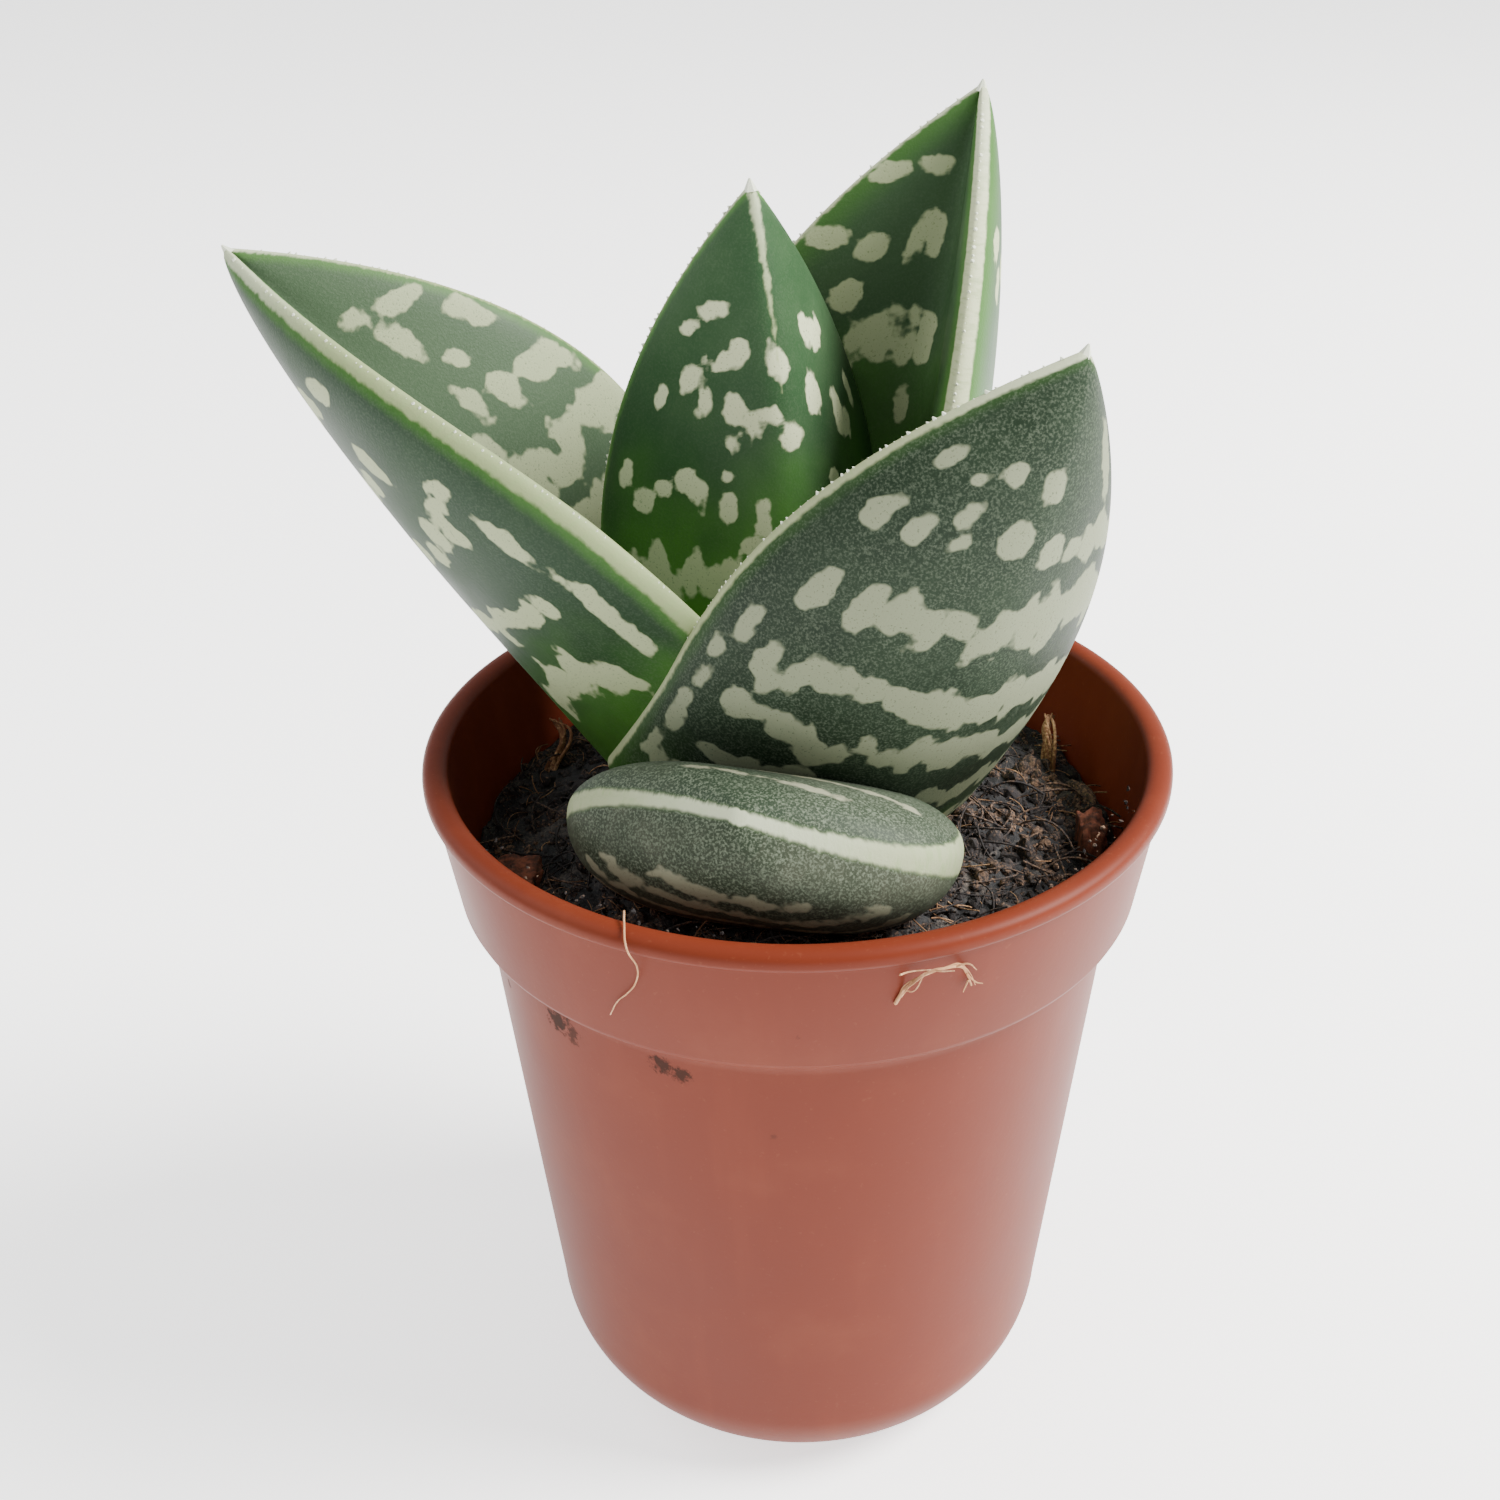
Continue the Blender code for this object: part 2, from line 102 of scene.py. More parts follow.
world = bpy.data.worlds.new("surround")
bpy.context.scene.world = world
world.use_nodes = True
world.node_tree.nodes["Background"].inputs["Color"].default_value = (1.0, 1.0, 1.0, 1.0)
world.node_tree.nodes["Background"].inputs["Strength"].default_value = 0.75


def soft_lamp(name, place, aim, size, power, colour):
    lamp = bpy.data.lights.new(name, "AREA")
    lamp.shape = "DISK"
    lamp.size = size
    lamp.energy = power
    lamp.color = colour
    item = bpy.data.objects.new(name, lamp)
    bpy.context.scene.collection.objects.link(item)
    item.location = place
    item.rotation_mode = "QUATERNION"
    item.rotation_quaternion = (Vector(aim) - Vector(place)).to_track_quat("-Z", "Y")


AIM = (0.0, 0.0, 0.06)
soft_lamp("lamp_right", (0.50, -0.02, 0.52), AIM, 0.35, 17.0, (1.0, 0.985, 0.96))
soft_lamp("lamp_left", (-0.50, 0.10, 0.40), AIM, 0.50, 2.0, (0.97, 0.985, 1.0))

CAMERA_PLACE = Vector((0.0, -115.7, 125.1)) * MM
CAMERA_PITCH = math.radians(-30.55)
CAMERA_HEADING = math.radians(-1.68)
CAMERA_ROLL = math.radians(-1.19)
camera = bpy.data.cameras.new("camera")
camera.lens = 43.2
camera.sensor_width = 36.0
camera.clip_start = 0.005
camera_object = bpy.data.objects.new("camera", camera)
bpy.context.scene.collection.objects.link(camera_object)
looks_along = Vector((
    math.sin(CAMERA_HEADING) * math.cos(CAMERA_PITCH),
    math.cos(CAMERA_HEADING) * math.cos(CAMERA_PITCH),
    math.sin(CAMERA_PITCH),
))
camera_object.location = CAMERA_PLACE
camera_object.rotation_mode = "QUATERNION"
camera_object.rotation_quaternion = looks_along.to_track_quat("-Z", "Y") @ Quaternion((0, 0, 1), CAMERA_ROLL)
bpy.context.scene.camera = camera_object

# ---- The pot ------------------------------------------------------------------------------
# A thin nursery pot moulded in terracotta-coloured polypropylene: a tapered body with a rounded foot,
# a tall collar with a bead around the rim, and drain holes in a shallow channel underneath.

POT_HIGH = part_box("pot")[1]
RIM_RADIUS = POT_HIGH[0]
POT_HEIGHT = POT_HIGH[2]
COLLAR_BASE = POT_HEIGHT - 10.6 * MM
BEAD = 0.6 * MM
COLLAR_FOOT_RADIUS = RIM_RADIUS - BEAD - 1.2 * MM
BODY_TOP = COLLAR_BASE - 1.9 * MM
BODY_TOP_RADIUS = COLLAR_FOOT_RADIUS - 1.75 * MM
BODY_FOOT_RADIUS = BODY_TOP_RADIUS - 3.3 * MM
BASE_ROUND = 7.9 * MM
WALL = 1.3 * MM
FLOOR_TOP = 2.6 * MM
CHANNEL_DEPTH = 0.8 * MM
CHANNEL_OUTER = BODY_FOOT_RADIUS - BASE_ROUND - 2.6 * MM
CHANNEL_INNER = CHANNEL_OUTER - 4.8 * MM
DRAIN_HOLE_RADIUS = 1.8 * MM
DRAIN_HOLES = 6
RIM_FLATNESS = 0.75          # height of the rim's rounding, as a share of half its width
POT_SIDES = 192


def arc(centre, radius, start, end, count):
    angles = [math.radians(start + (end - start) * step / (count - 1)) for step in range(count)]
    return [(centre[0] + radius * math.cos(angle), centre[1] + radius * math.sin(angle)) for angle in angles]


def plain_mesh(item):
    """The evaluated mesh of an object, its modifiers applied. The object goes."""
    bpy.context.view_layer.update()
    mesh = bpy.data.meshes.new_from_object(item.evaluated_get(bpy.context.evaluated_depsgraph_get()))
    bpy.data.objects.remove(item, do_unlink=True)
    return mesh


def turned_mesh(name, profile, sides):
    """A profile of (radius, height) points turned about Z. It runs down the outer side."""
    mesh = bpy.data.meshes.new(name)
    points = [(radius, 0.0, height) for radius, height in profile]
    mesh.from_pydata(points, [(step, step + 1) for step in range(len(points) - 1)], [])
    item = add_object(name, mesh)
    screw = item.modifiers.new("turn", "SCREW")
    screw.steps = screw.render_steps = sides
    screw.use_merge_vertices = True
    screw.merge_threshold = 0.00001
    return plain_mesh(item)


def inner_wall(gap):
    """The inside of the pot from its floor to the foot of the collar, moved in by a gap."""
    round_in = BASE_ROUND - WALL
    foot = BODY_FOOT_RADIUS - WALL - gap
    corner = arc((foot - round_in, FLOOR_TOP + gap + round_in), round_in, -90, 0, 12)
    step_in = [(BODY_TOP_RADIUS - WALL - gap, BODY_TOP), (COLLAR_FOOT_RADIUS - WALL - gap, COLLAR_BASE + gap)]
    return corner + step_in


rim_half = (BEAD + WALL) / 2
rim_low = POT_HEIGHT - rim_half * RIM_FLATNESS
rim_round = arc((RIM_RADIUS - rim_half, rim_low), rim_half, 180, 0, 15)
rim = [(x, rim_low + (z - rim_low) * RIM_FLATNESS) for x, z in rim_round]
outside = [
    (RIM_RADIUS, POT_HEIGHT - BEAD * 1.7),
    (RIM_RADIUS - BEAD * 0.15, POT_HEIGHT - BEAD * 2.1),
    (RIM_RADIUS - BEAD * 0.8, POT_HEIGHT - BEAD * 2.5),
    (RIM_RADIUS - BEAD, POT_HEIGHT - BEAD * 3.2),
    (COLLAR_FOOT_RADIUS + 0.04 * MM, COLLAR_BASE + 0.5 * MM),
    (COLLAR_FOOT_RADIUS - 0.15 * MM, COLLAR_BASE + 0.08 * MM),
    (COLLAR_FOOT_RADIUS - 0.5 * MM, COLLAR_BASE - 0.1 * MM),
    (BODY_TOP_RADIUS + 0.55 * MM, COLLAR_BASE - 0.5 * MM),
    (BODY_TOP_RADIUS + 0.2 * MM, COLLAR_BASE - 0.9 * MM),
    (BODY_TOP_RADIUS, BODY_TOP),
]
foot_corner = arc((BODY_FOOT_RADIUS - BASE_ROUND, BASE_ROUND), BASE_ROUND, 0, -90, 20)
underside = [
    (CHANNEL_OUTER, 0.0),
    (CHANNEL_OUTER - CHANNEL_DEPTH / 2, CHANNEL_DEPTH),
    (CHANNEL_INNER + CHANNEL_DEPTH / 2, CHANNEL_DEPTH),
    (CHANNEL_INNER, 0.0),
    (0.0, 0.0),
]
pot_profile = [(0.0, FLOOR_TOP)] + inner_wall(0.0) + rim + outside + foot_corner + underside
pot = add_object("pot_shell", turned_mesh("pot_shell", pot_profile, POT_SIDES))
hole_circle = (CHANNEL_INNER + CHANNEL_OUTER) / 2
punches = []
for index in range(DRAIN_HOLES):
    angle = math.tau * (index + 0.5) / DRAIN_HOLES
    shape = bmesh.new()
    bmesh.ops.create_cone(shape, cap_ends=True, segments=32, radius1=DRAIN_HOLE_RADIUS,
                          radius2=DRAIN_HOLE_RADIUS, depth=4 * FLOOR_TOP)
    hole_at = (hole_circle * math.cos(angle), hole_circle * math.sin(angle), 0)
    bmesh.ops.translate(shape, verts=shape.verts, vec=hole_at)
    mesh = bpy.data.meshes.new("punch")
    shape.to_mesh(mesh)
    shape.free()
    punches.append(add_object("punch", mesh))
    cut = pot.modifiers.new("drain_hole", "BOOLEAN")
    cut.object = punches[-1]
pot = add_object("pot_shell", plain_mesh(pot))
for punch in punches:
    bpy.data.objects.remove(punch, do_unlink=True)
pot.data.shade_smooth()
pot.data.set_sharp_from_angle(angle=math.radians(40))


def new_group(name, inputs, outputs):
    """A shader node group with named sockets: (name, kind, start value)."""
    group = bpy.data.node_groups.new(name, "ShaderNodeTree")
    for title, kind, value in inputs:
        socket = group.interface.new_socket(title, in_out="INPUT", socket_type="NodeSocket" + kind)
        if value is not None:
            socket.default_value = value
    for title, kind in outputs:
        group.interface.new_socket(title, in_out="OUTPUT", socket_type="NodeSocket" + kind)
    return group, group.nodes.new("NodeGroupInput").outputs, group.nodes.new("NodeGroupOutput").inputs


def mix(tree, factor, first, second, blend="MIX"):
    """A colour mix; factor, first and second are values or sockets."""
    made = node(tree, "ShaderNodeMix", {0: factor, 6: first, 7: second}, data_type="RGBA", blend_type=blend)
    return made.outputs[2]


def math_node(tree, operation, first, second=0.0, third=0.0):
    made = node(tree, "ShaderNodeMath", {0: first, 1: second, 2: third}, operation=operation)
    return made.outputs[0]


def step_mask(tree, value, low, high):
    """0 below low, 1 above high, smooth between; turned round if low is the larger."""
    inputs = {"Value": value, "From Min": min(low, high), "From Max": max(low, high)}
    if low > high:
        inputs.update({"To Min": 1.0, "To Max": 0.0})
    return node(tree, "ShaderNodeMapRange", inputs, interpolation_type="SMOOTHSTEP").outputs[0]


def cloud(tree, vector, scale, detail=3.0, roughness=0.55):
    inputs = {"Vector": vector, "Scale": scale, "Detail": detail, "Roughness": roughness}
    return node(tree, "ShaderNodeTexNoise", inputs).outputs[0]


def object_place(tree):
    return node(tree, "ShaderNodeTexCoord").outputs["Object"]


def scaled_place(tree, vector, scale):
    """A vector with each axis scaled by its own factor."""
    return node(tree, "ShaderNodeMapping", {"Vector": vector, "Scale": scale}).outputs[0]


def add_bump(tree, shader, strength, distance, height):
    bump = node(tree, "ShaderNodeBump", {"Strength": strength, "Distance": distance, "Height": height})
    tree.links.new(bump.outputs[0], shader.inputs["Normal"])


# Dust settled on a surface, in wisps and fine grains
dust, dust_in, dust_out = new_group(
    "Dust", [("Vector", "Vector", None), ("Amount", "Float", 0.3)], [("Mask", "Float")])
wisps = step_mask(dust, cloud(dust, dust_in["Vector"], 90.0, 6.0, 0.6), 0.48, 0.78)
grains = step_mask(dust, cloud(dust, dust_in["Vector"], 2600.0, 2.0), 0.66, 0.74)
both = math_node(dust, "MULTIPLY_ADD", wisps, 0.55, math_node(dust, "MULTIPLY", grains, 0.6))
dust.links.new(math_node(dust, "MULTIPLY", both, dust_in["Amount"]), dust_out["Mask"])

# Where a finger smudge or a splash of mud sits on the outside: azimuth in degrees, height and size in mm,
# and strength
SMUDGES = [
    (-134.5, 44.9, 2.0, 0.95), (-131.0, 44.6, 1.6, 0.8), (-112.5, 45.2, 1.5, 0.9), (-109.3, 44.7, 1.4, 0.9),
    (-153, 43.4, 0.7, 0.6), (-110, 52.6, 0.5, 0.6), (-101, 56.0, 0.5, 0.5), (-90, 50.9, 0.45, 0.45),
    (-94, 39.9, 0.6, 0.4), (40, 35.0, 2.2, 0.5), (120, 20.0, 1.8, 0.4), (170, 48.0, 1.2, 0.5),
]
pot_skin, tree, shader = new_material("terracotta_plastic", 0.46, Specular_IOR_Level=0.10)
place = object_place(tree)
uneven = cloud(tree, place, 45.0, 4.0)
colour = mix(tree, uneven, (0.108, 0.0165, 0.0065, 1), (0.135, 0.024, 0.010, 1))
streaks = cloud(tree, scaled_place(tree, place, (1.0, 1.0, 0.08)), 380.0, 3.0)
streaked = math_node(tree, "MULTIPLY", step_mask(tree, streaks, 0.5, 0.75), 0.12)
colour = mix(tree, streaked, colour, (0.19, 0.038, 0.016, 1))
smudge = None
ragged = math_node(tree, "MULTIPLY", cloud(tree, place, 1500.0, 5.0, 0.7), 2.2)
for azimuth, height, size, strength in SMUDGES:
    taper = BODY_FOOT_RADIUS + (BODY_TOP_RADIUS - BODY_FOOT_RADIUS) * height * MM / BODY_TOP
    radius = taper if height * MM < COLLAR_BASE - 1.0 * MM else COLLAR_FOOT_RADIUS + 0.3 * MM
    at = (radius * math.cos(math.radians(azimuth)), radius * math.sin(math.radians(azimuth)), height * MM)
    away = node(tree, "ShaderNodeVectorMath", {0: place, 1: at}, operation="DISTANCE").outputs["Value"]
    scaled = math_node(tree, "MULTIPLY_ADD", away, 1.0 / (size * MM), ragged)
    spot = math_node(tree, "MULTIPLY", step_mask(tree, scaled, 1.75, 1.35), strength)
    smudge = spot if smudge is None else math_node(tree, "MAXIMUM", smudge, spot)
colour = mix(tree, smudge, colour, (0.025, 0.010, 0.006, 1))
dusty = node(tree, "ShaderNodeGroup", {}, node_tree=dust)
tree.links.new(place, dusty.inputs["Vector"])
dusty.inputs["Amount"].default_value = 0.30
colour = mix(tree, dusty.outputs["Mask"], colour, (0.22, 0.065, 0.032, 1))
tree.links.new(colour, shader.inputs["Base Color"])
rough = math_node(tree, "MULTIPLY_ADD", uneven, 0.16, math_node(tree, "MULTIPLY_ADD", smudge, 0.3, 0.38))
tree.links.new(rough, shader.inputs["Roughness"])
texture = math_node(tree, "ADD", math_node(tree, "MULTIPLY", streaks, 0.5), cloud(tree, place, 2200.0, 2.0))
add_bump(tree, shader, 0.12, 0.05 * MM, texture)
pot.data.materials.clear()
pot.data.materials.append(pot_skin)
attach(pot, "root")
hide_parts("pot")

# ---- The peat -----------------------------------------------------------------------------
# Loose, nearly black peat that has dried and shrunk from the rim, higher at the front and the back
# than along the side walls, with crumbs, red-brown bits and coir fibres through it.

SOIL_GAP = 0.15 * MM         # between the peat and the wall
CROWN = Vector((0.0, 0.0, POT_HEIGHT - 6.3 * MM))
SOIL_RADIUS = COLLAR_FOOT_RADIUS - WALL - SOIL_GAP
SOIL_BANK = 1.6 * MM
SOIL_HOLLOW = 3.0 * MM


def clods(x, y, size):
    """Rounded lumps about a size across, 0 to 1."""
    place = Vector((x / size, y / size, 3.7))
    return 1.0 - min(1.0, noise.voronoi(place)[0][0])


def soil_height(x, y):
    """Height of the peat above the crown."""
    radius = math.hypot(x, y) / SOIL_RADIUS
    side = abs(x) / SOIL_RADIUS
    bank = SOIL_BANK * radius ** 2 * (1.0 - side) ** 2
    hollow = SOIL_HOLLOW * side ** 2 * radius ** 2
    broad = noise.fractal(Vector((x, y, 0.5 * MM)) * 220.0, 0.7, 2.0, 4)
    lumps = clods(x, y, 2.3 * MM) + 0.5 * clods(x + 0.03, y, 0.9 * MM)
    return bank - hollow + (0.55 * broad + 0.75 * (lumps - 0.75)) * MM


rings = 110
top = [(SOIL_RADIUS * step / rings, CROWN.z) for step in range(rings + 1)]
soil_wall = inner_wall(SOIL_GAP)
soil = add_object("peat", turned_mesh("peat", top + soil_wall[::-1] + [(0.0, soil_wall[0][1])], 240))
for vertex in soil.data.vertices:
    if vertex.co.z > CROWN.z - 0.1 * MM:
        vertex.co.z = CROWN.z + soil_height(vertex.co.x, vertex.co.y)
soil.data.shade_smooth()

# Tone of peat and of what lies in it: a vector in, a colour and a height out
peat_tone, tone_in, tone_out = new_group(
    "Peat tone",
    [("Vector", "Vector", None), ("Dark", "Color", None), ("Light", "Color", None),
     ("Scale", "Float", 700.0)],
    [("Color", "Color"), ("Height", "Float")])
coarse = node(peat_tone, "ShaderNodeTexNoise", {"Detail": 3.0, "Roughness": 0.6})
peat_tone.links.new(tone_in["Vector"], coarse.inputs["Vector"])
peat_tone.links.new(tone_in["Scale"], coarse.inputs["Scale"])
fine = cloud(peat_tone, tone_in["Vector"], 4200.0, 3.0, 0.65)
half_coarse = math_node(peat_tone, "MULTIPLY", coarse.outputs[0], 0.5)
blend = math_node(peat_tone, "MULTIPLY_ADD", fine, 0.5, half_coarse)
lightness = step_mask(peat_tone, blend, 0.47, 0.68)
peat_tone.links.new(mix(peat_tone, lightness, tone_in["Dark"], tone_in["Light"]), tone_out["Color"])
peat_tone.links.new(fine, tone_out["Height"])


def peat_material(name, dark, light, scale, bump_depth):
    made, tree, shader = new_material(name, 0.92, Specular_IOR_Level=0.25)
    group = node(tree, "ShaderNodeGroup", {}, node_tree=peat_tone)
    tree.links.new(object_place(tree), group.inputs["Vector"])
    group.inputs["Dark"].default_value = (*dark, 1)
    group.inputs["Light"].default_value = (*light, 1)
    group.inputs["Scale"].default_value = scale
    tree.links.new(group.outputs["Color"], shader.inputs["Base Color"])
    add_bump(tree, shader, 0.8, bump_depth, group.outputs["Height"])
    return made


peat_skin = peat_material("peat", (0.024, 0.024, 0.025), (0.090, 0.075, 0.064), 320.0, 0.25 * MM)
crumb_skin = peat_material("peat_crumbs", (0.024, 0.021, 0.021), (0.24, 0.145, 0.09), 190.0, 0.12 * MM)
fibre_skin = peat_material("coir", (0.16, 0.085, 0.045), (0.46, 0.29, 0.16), 500.0, 0.05 * MM)
soil.data.materials.append(peat_skin)
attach(soil, "root")
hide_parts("soil")


def new_geometry_tree(name, inputs):
    """A Geometry Nodes tree with a geometry in and out, and named inputs: (name, kind, start value)."""
    tree = bpy.data.node_groups.new(name, "GeometryNodeTree")
    tree.interface.new_socket("Geometry", in_out="INPUT", socket_type="NodeSocketGeometry")
    tree.interface.new_socket("Geometry", in_out="OUTPUT", socket_type="NodeSocketGeometry")
    for title, kind, value in inputs:
        socket = tree.interface.new_socket(title, in_out="INPUT", socket_type="NodeSocket" + kind)
        if value is not None:
            socket.default_value = value
    return tree, tree.nodes.new("NodeGroupInput").outputs, tree.nodes.new("NodeGroupOutput").inputs


def grown_mesh(name, base_mesh, tree, values):
    """The plain mesh that a Geometry Nodes tree makes from a base mesh. Values go by the inputs' names."""
    item = add_object(name + "_base", base_mesh)
    modifier = item.modifiers.new(tree.name, "NODES")
    modifier.node_group = tree
    for socket in tree.interface.items_tree:
        if socket.item_type == "SOCKET" and socket.in_out == "INPUT" and socket.name in values:
            modifier[socket.identifier] = values[socket.name]
    return plain_mesh(item)


def random_value(tree, kind, low, high, seed):
    """A seeded random value; seed is a socket or a number."""
    sockets = {"FLOAT": (2, 3, 1), "FLOAT_VECTOR": (0, 1, 0)}[kind]
    made = node(tree, "FunctionNodeRandomValue", {sockets[0]: low, sockets[1]: high, 8: seed}, data_type=kind)
    return made.outputs[sockets[2]]


def scaled_vector(tree, vector, factor):
    return node(tree, "ShaderNodeVectorMath", {0: vector, "Scale": factor}, operation="SCALE").outputs[0]


def clothe(tree, geometry, material, result):
    """The last nodes of a tree: the material goes on, and the geometry goes out."""
    clad = node(tree, "GeometryNodeSetMaterial", {"Geometry": geometry, "Material": material})
    tree.links.new(clad.outputs[0], result["Geometry"])


# Crumbs: rough grains scattered over a surface, each worn to its own shape
crumb_tree, given, result = new_geometry_tree("Crumbs", [
    ("Density", "Float", 1e6), ("Smallest", "Float", 0.2 * MM), ("Largest", "Float", 0.7 * MM),
    ("Roundness", "Int", 2), ("Seed", "Int", 1), ("Material", "Material", None)])
scatter = node(crumb_tree, "GeometryNodeDistributePointsOnFaces", {
    "Mesh": given["Geometry"], "Density": given["Density"], "Seed": given["Seed"]})
grain = node(crumb_tree, "GeometryNodeMeshIcoSphere", {"Radius": 1.0, "Subdivisions": given["Roundness"]})
size_share = random_value(crumb_tree, "FLOAT", 0.0, 1.0, given["Seed"])
skewed = math_node(crumb_tree, "POWER", size_share, 2.5)
size = node(crumb_tree, "ShaderNodeMapRange", {
    "Value": skewed, "To Min": given["Smallest"], "To Max": given["Largest"]}).outputs[0]
squash = random_value(crumb_tree, "FLOAT_VECTOR", (0.6, 0.5, 0.35), (1.3, 1.0, 0.8), 7)
scale = scaled_vector(crumb_tree, squash, size)
turn = random_value(crumb_tree, "FLOAT_VECTOR", (0, 0, 0), (6.3, 6.3, 6.3), 11)
crumbs = node(crumb_tree, "GeometryNodeInstanceOnPoints", {
    "Points": scatter.outputs["Points"], "Instance": grain.outputs["Mesh"], "Rotation": turn, "Scale": scale})
loose = node(crumb_tree, "GeometryNodeRealizeInstances", {"Geometry": crumbs.outputs[0]})
wear_at = node(crumb_tree, "GeometryNodeInputPosition").outputs[0]
wear = node(crumb_tree, "ShaderNodeTexNoise", {"Vector": wear_at, "Scale": 2400.0, "Detail": 1.0})
centred = node(crumb_tree, "ShaderNodeVectorMath", {0: wear.outputs["Color"], 1: (0.5, 0.5, 0.5)},
               operation="SUBTRACT").outputs[0]
shift = scaled_vector(crumb_tree, centred, 0.45 * MM)
worn = node(crumb_tree, "GeometryNodeSetPosition", {"Geometry": loose.outputs[0], "Offset": shift})
clothe(crumb_tree, worn.outputs[0], given["Material"], result)

# Fibres: short curved hairs lying on and in a surface
fibre_tree, given, result = new_geometry_tree("Fibres", [
    ("Density", "Float", 1e5), ("Length", "Float", 4.0 * MM), ("Thickness", "Float", 0.05 * MM),
    ("Tilt", "Float", 0.7), ("Seed", "Int", 1), ("Material", "Material", None)])
scatter = node(fibre_tree, "GeometryNodeDistributePointsOnFaces", {
    "Mesh": given["Geometry"], "Density": given["Density"], "Seed": given["Seed"]})
hair = node(fibre_tree, "GeometryNodeCurveQuadraticBezier", {
    "Resolution": 7, "Start": (-0.5, 0.0, 0.0), "Middle": (0.0, 0.45, 0.3), "End": (0.5, 0.0, 0.1)})
hair_round = node(fibre_tree, "GeometryNodeCurvePrimitiveCircle", {"Resolution": 4, "Radius": 1.0})
thin = math_node(fibre_tree, "DIVIDE", given["Thickness"], given["Length"])
round_scale = node(fibre_tree, "ShaderNodeCombineXYZ", {0: thin, 1: thin, 2: thin}).outputs[0]
hair_section = node(fibre_tree, "GeometryNodeTransform", {
    "Geometry": hair_round.outputs[0], "Scale": round_scale})
hair_body = node(fibre_tree, "GeometryNodeCurveToMesh", {
    "Curve": hair.outputs[0], "Profile Curve": hair_section.outputs[0], "Fill Caps": True})
length_share = random_value(fibre_tree, "FLOAT", 0.35, 1.2, given["Seed"])
length = math_node(fibre_tree, "MULTIPLY", given["Length"], length_share)
up_down = math_node(fibre_tree, "MULTIPLY", given["Tilt"], -1.0)
low_turn = node(fibre_tree, "ShaderNodeCombineXYZ", {0: up_down, 1: up_down, 2: 0.0}).outputs[0]
high_turn = node(fibre_tree, "ShaderNodeCombineXYZ", {0: given["Tilt"], 1: given["Tilt"], 2: 6.3}).outputs[0]
turn = random_value(fibre_tree, "FLOAT_VECTOR", low_turn, high_turn, 5)
hairs = node(fibre_tree, "GeometryNodeInstanceOnPoints", {
    "Points": scatter.outputs["Points"], "Instance": hair_body.outputs[0], "Rotation": turn, "Scale": length})
loose = node(fibre_tree, "GeometryNodeRealizeInstances", {"Geometry": hairs.outputs[0]})
clothe(fibre_tree, loose.outputs[0], given["Material"], result)


def soil_patch(name, wanted):
    """A copy of the part of the peat's top where wanted(x, y) holds, for scattering on."""
    shape = bmesh.new()
    shape.from_mesh(soil.data)
    spare = []
    for face in shape.faces:
        middle = face.calc_center_median()
        on_top = face.normal.z > 0.05 and middle.z > COLLAR_BASE
        inside = math.hypot(middle.x, middle.y) < SOIL_RADIUS - 0.5 * MM
        if not (on_top and inside and wanted(middle.x, middle.y)):
            spare.append(face)
    bmesh.ops.delete(shape, geom=spare, context="FACES")
    mesh = bpy.data.meshes.new(name)
    shape.to_mesh(mesh)
    shape.free()
    return mesh


def everywhere(x, y):
    return True


def near_right_front(x, y):
    return x > 9 * MM and y < 2 * MM


for name, tree, skin, wanted, values in [
    ("peat_grit", crumb_tree, crumb_skin, everywhere,
     {"Density": 2.2e6, "Smallest": 0.12 * MM, "Largest": 0.55 * MM, "Roundness": 1, "Seed": 3}),
    ("peat_crumbs", crumb_tree, crumb_skin, everywhere,
     {"Density": 3.0e5, "Smallest": 0.35 * MM, "Largest": 1.25 * MM, "Roundness": 2, "Seed": 8}),
    ("peat_crumbs_front", crumb_tree, crumb_skin, near_right_front,
     {"Density": 1.2e6, "Smallest": 0.25 * MM, "Largest": 0.8 * MM, "Roundness": 2, "Seed": 21}),
    ("peat_fibres", fibre_tree, fibre_skin, everywhere,
     {"Density": 1.6e5, "Length": 3.6 * MM, "Thickness": 0.05 * MM, "Tilt": 0.8, "Seed": 5}),
    ("peat_fibres_dark", fibre_tree, crumb_skin, everywhere,
     {"Density": 2.6e5, "Length": 4.5 * MM, "Thickness": 0.08 * MM, "Tilt": 0.6, "Seed": 9}),
]:
    values["Material"] = skin
    litter = add_object(name, grown_mesh(name, soil_patch(name, wanted), tree, values))
    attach(litter, "root")

# ---- The stem -----------------------------------------------------------------------------
# A short pale stump between the leaf bases, mostly below the peat. Its own solid stays, with a skin.

stem_skin, tree, shader = new_material("stem_flesh", 0.6)
tone = cloud(tree, object_place(tree), 400.0, 4.0)
tree.links.new(mix(tree, tone, (0.22, 0.26, 0.10, 1), (0.42, 0.42, 0.22, 1)), shader.inputs["Base Color"])
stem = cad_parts["stem"]
for slot in stem.material_slots:
    slot.material = stem_skin

# ---- The leaves ---------------------------------------------------------------------------
# Five fleshy leaves that spring from the stem in a loose spiral: keeled behind, channelled in front, and
# pointed. The skin is dark green under a fine waxy bloom, with bands of pale flecks and pale horny edges.

ALONG_STEPS = 200
HALF_ROUND_STEPS = 84
TIP_SHARE = 0.992


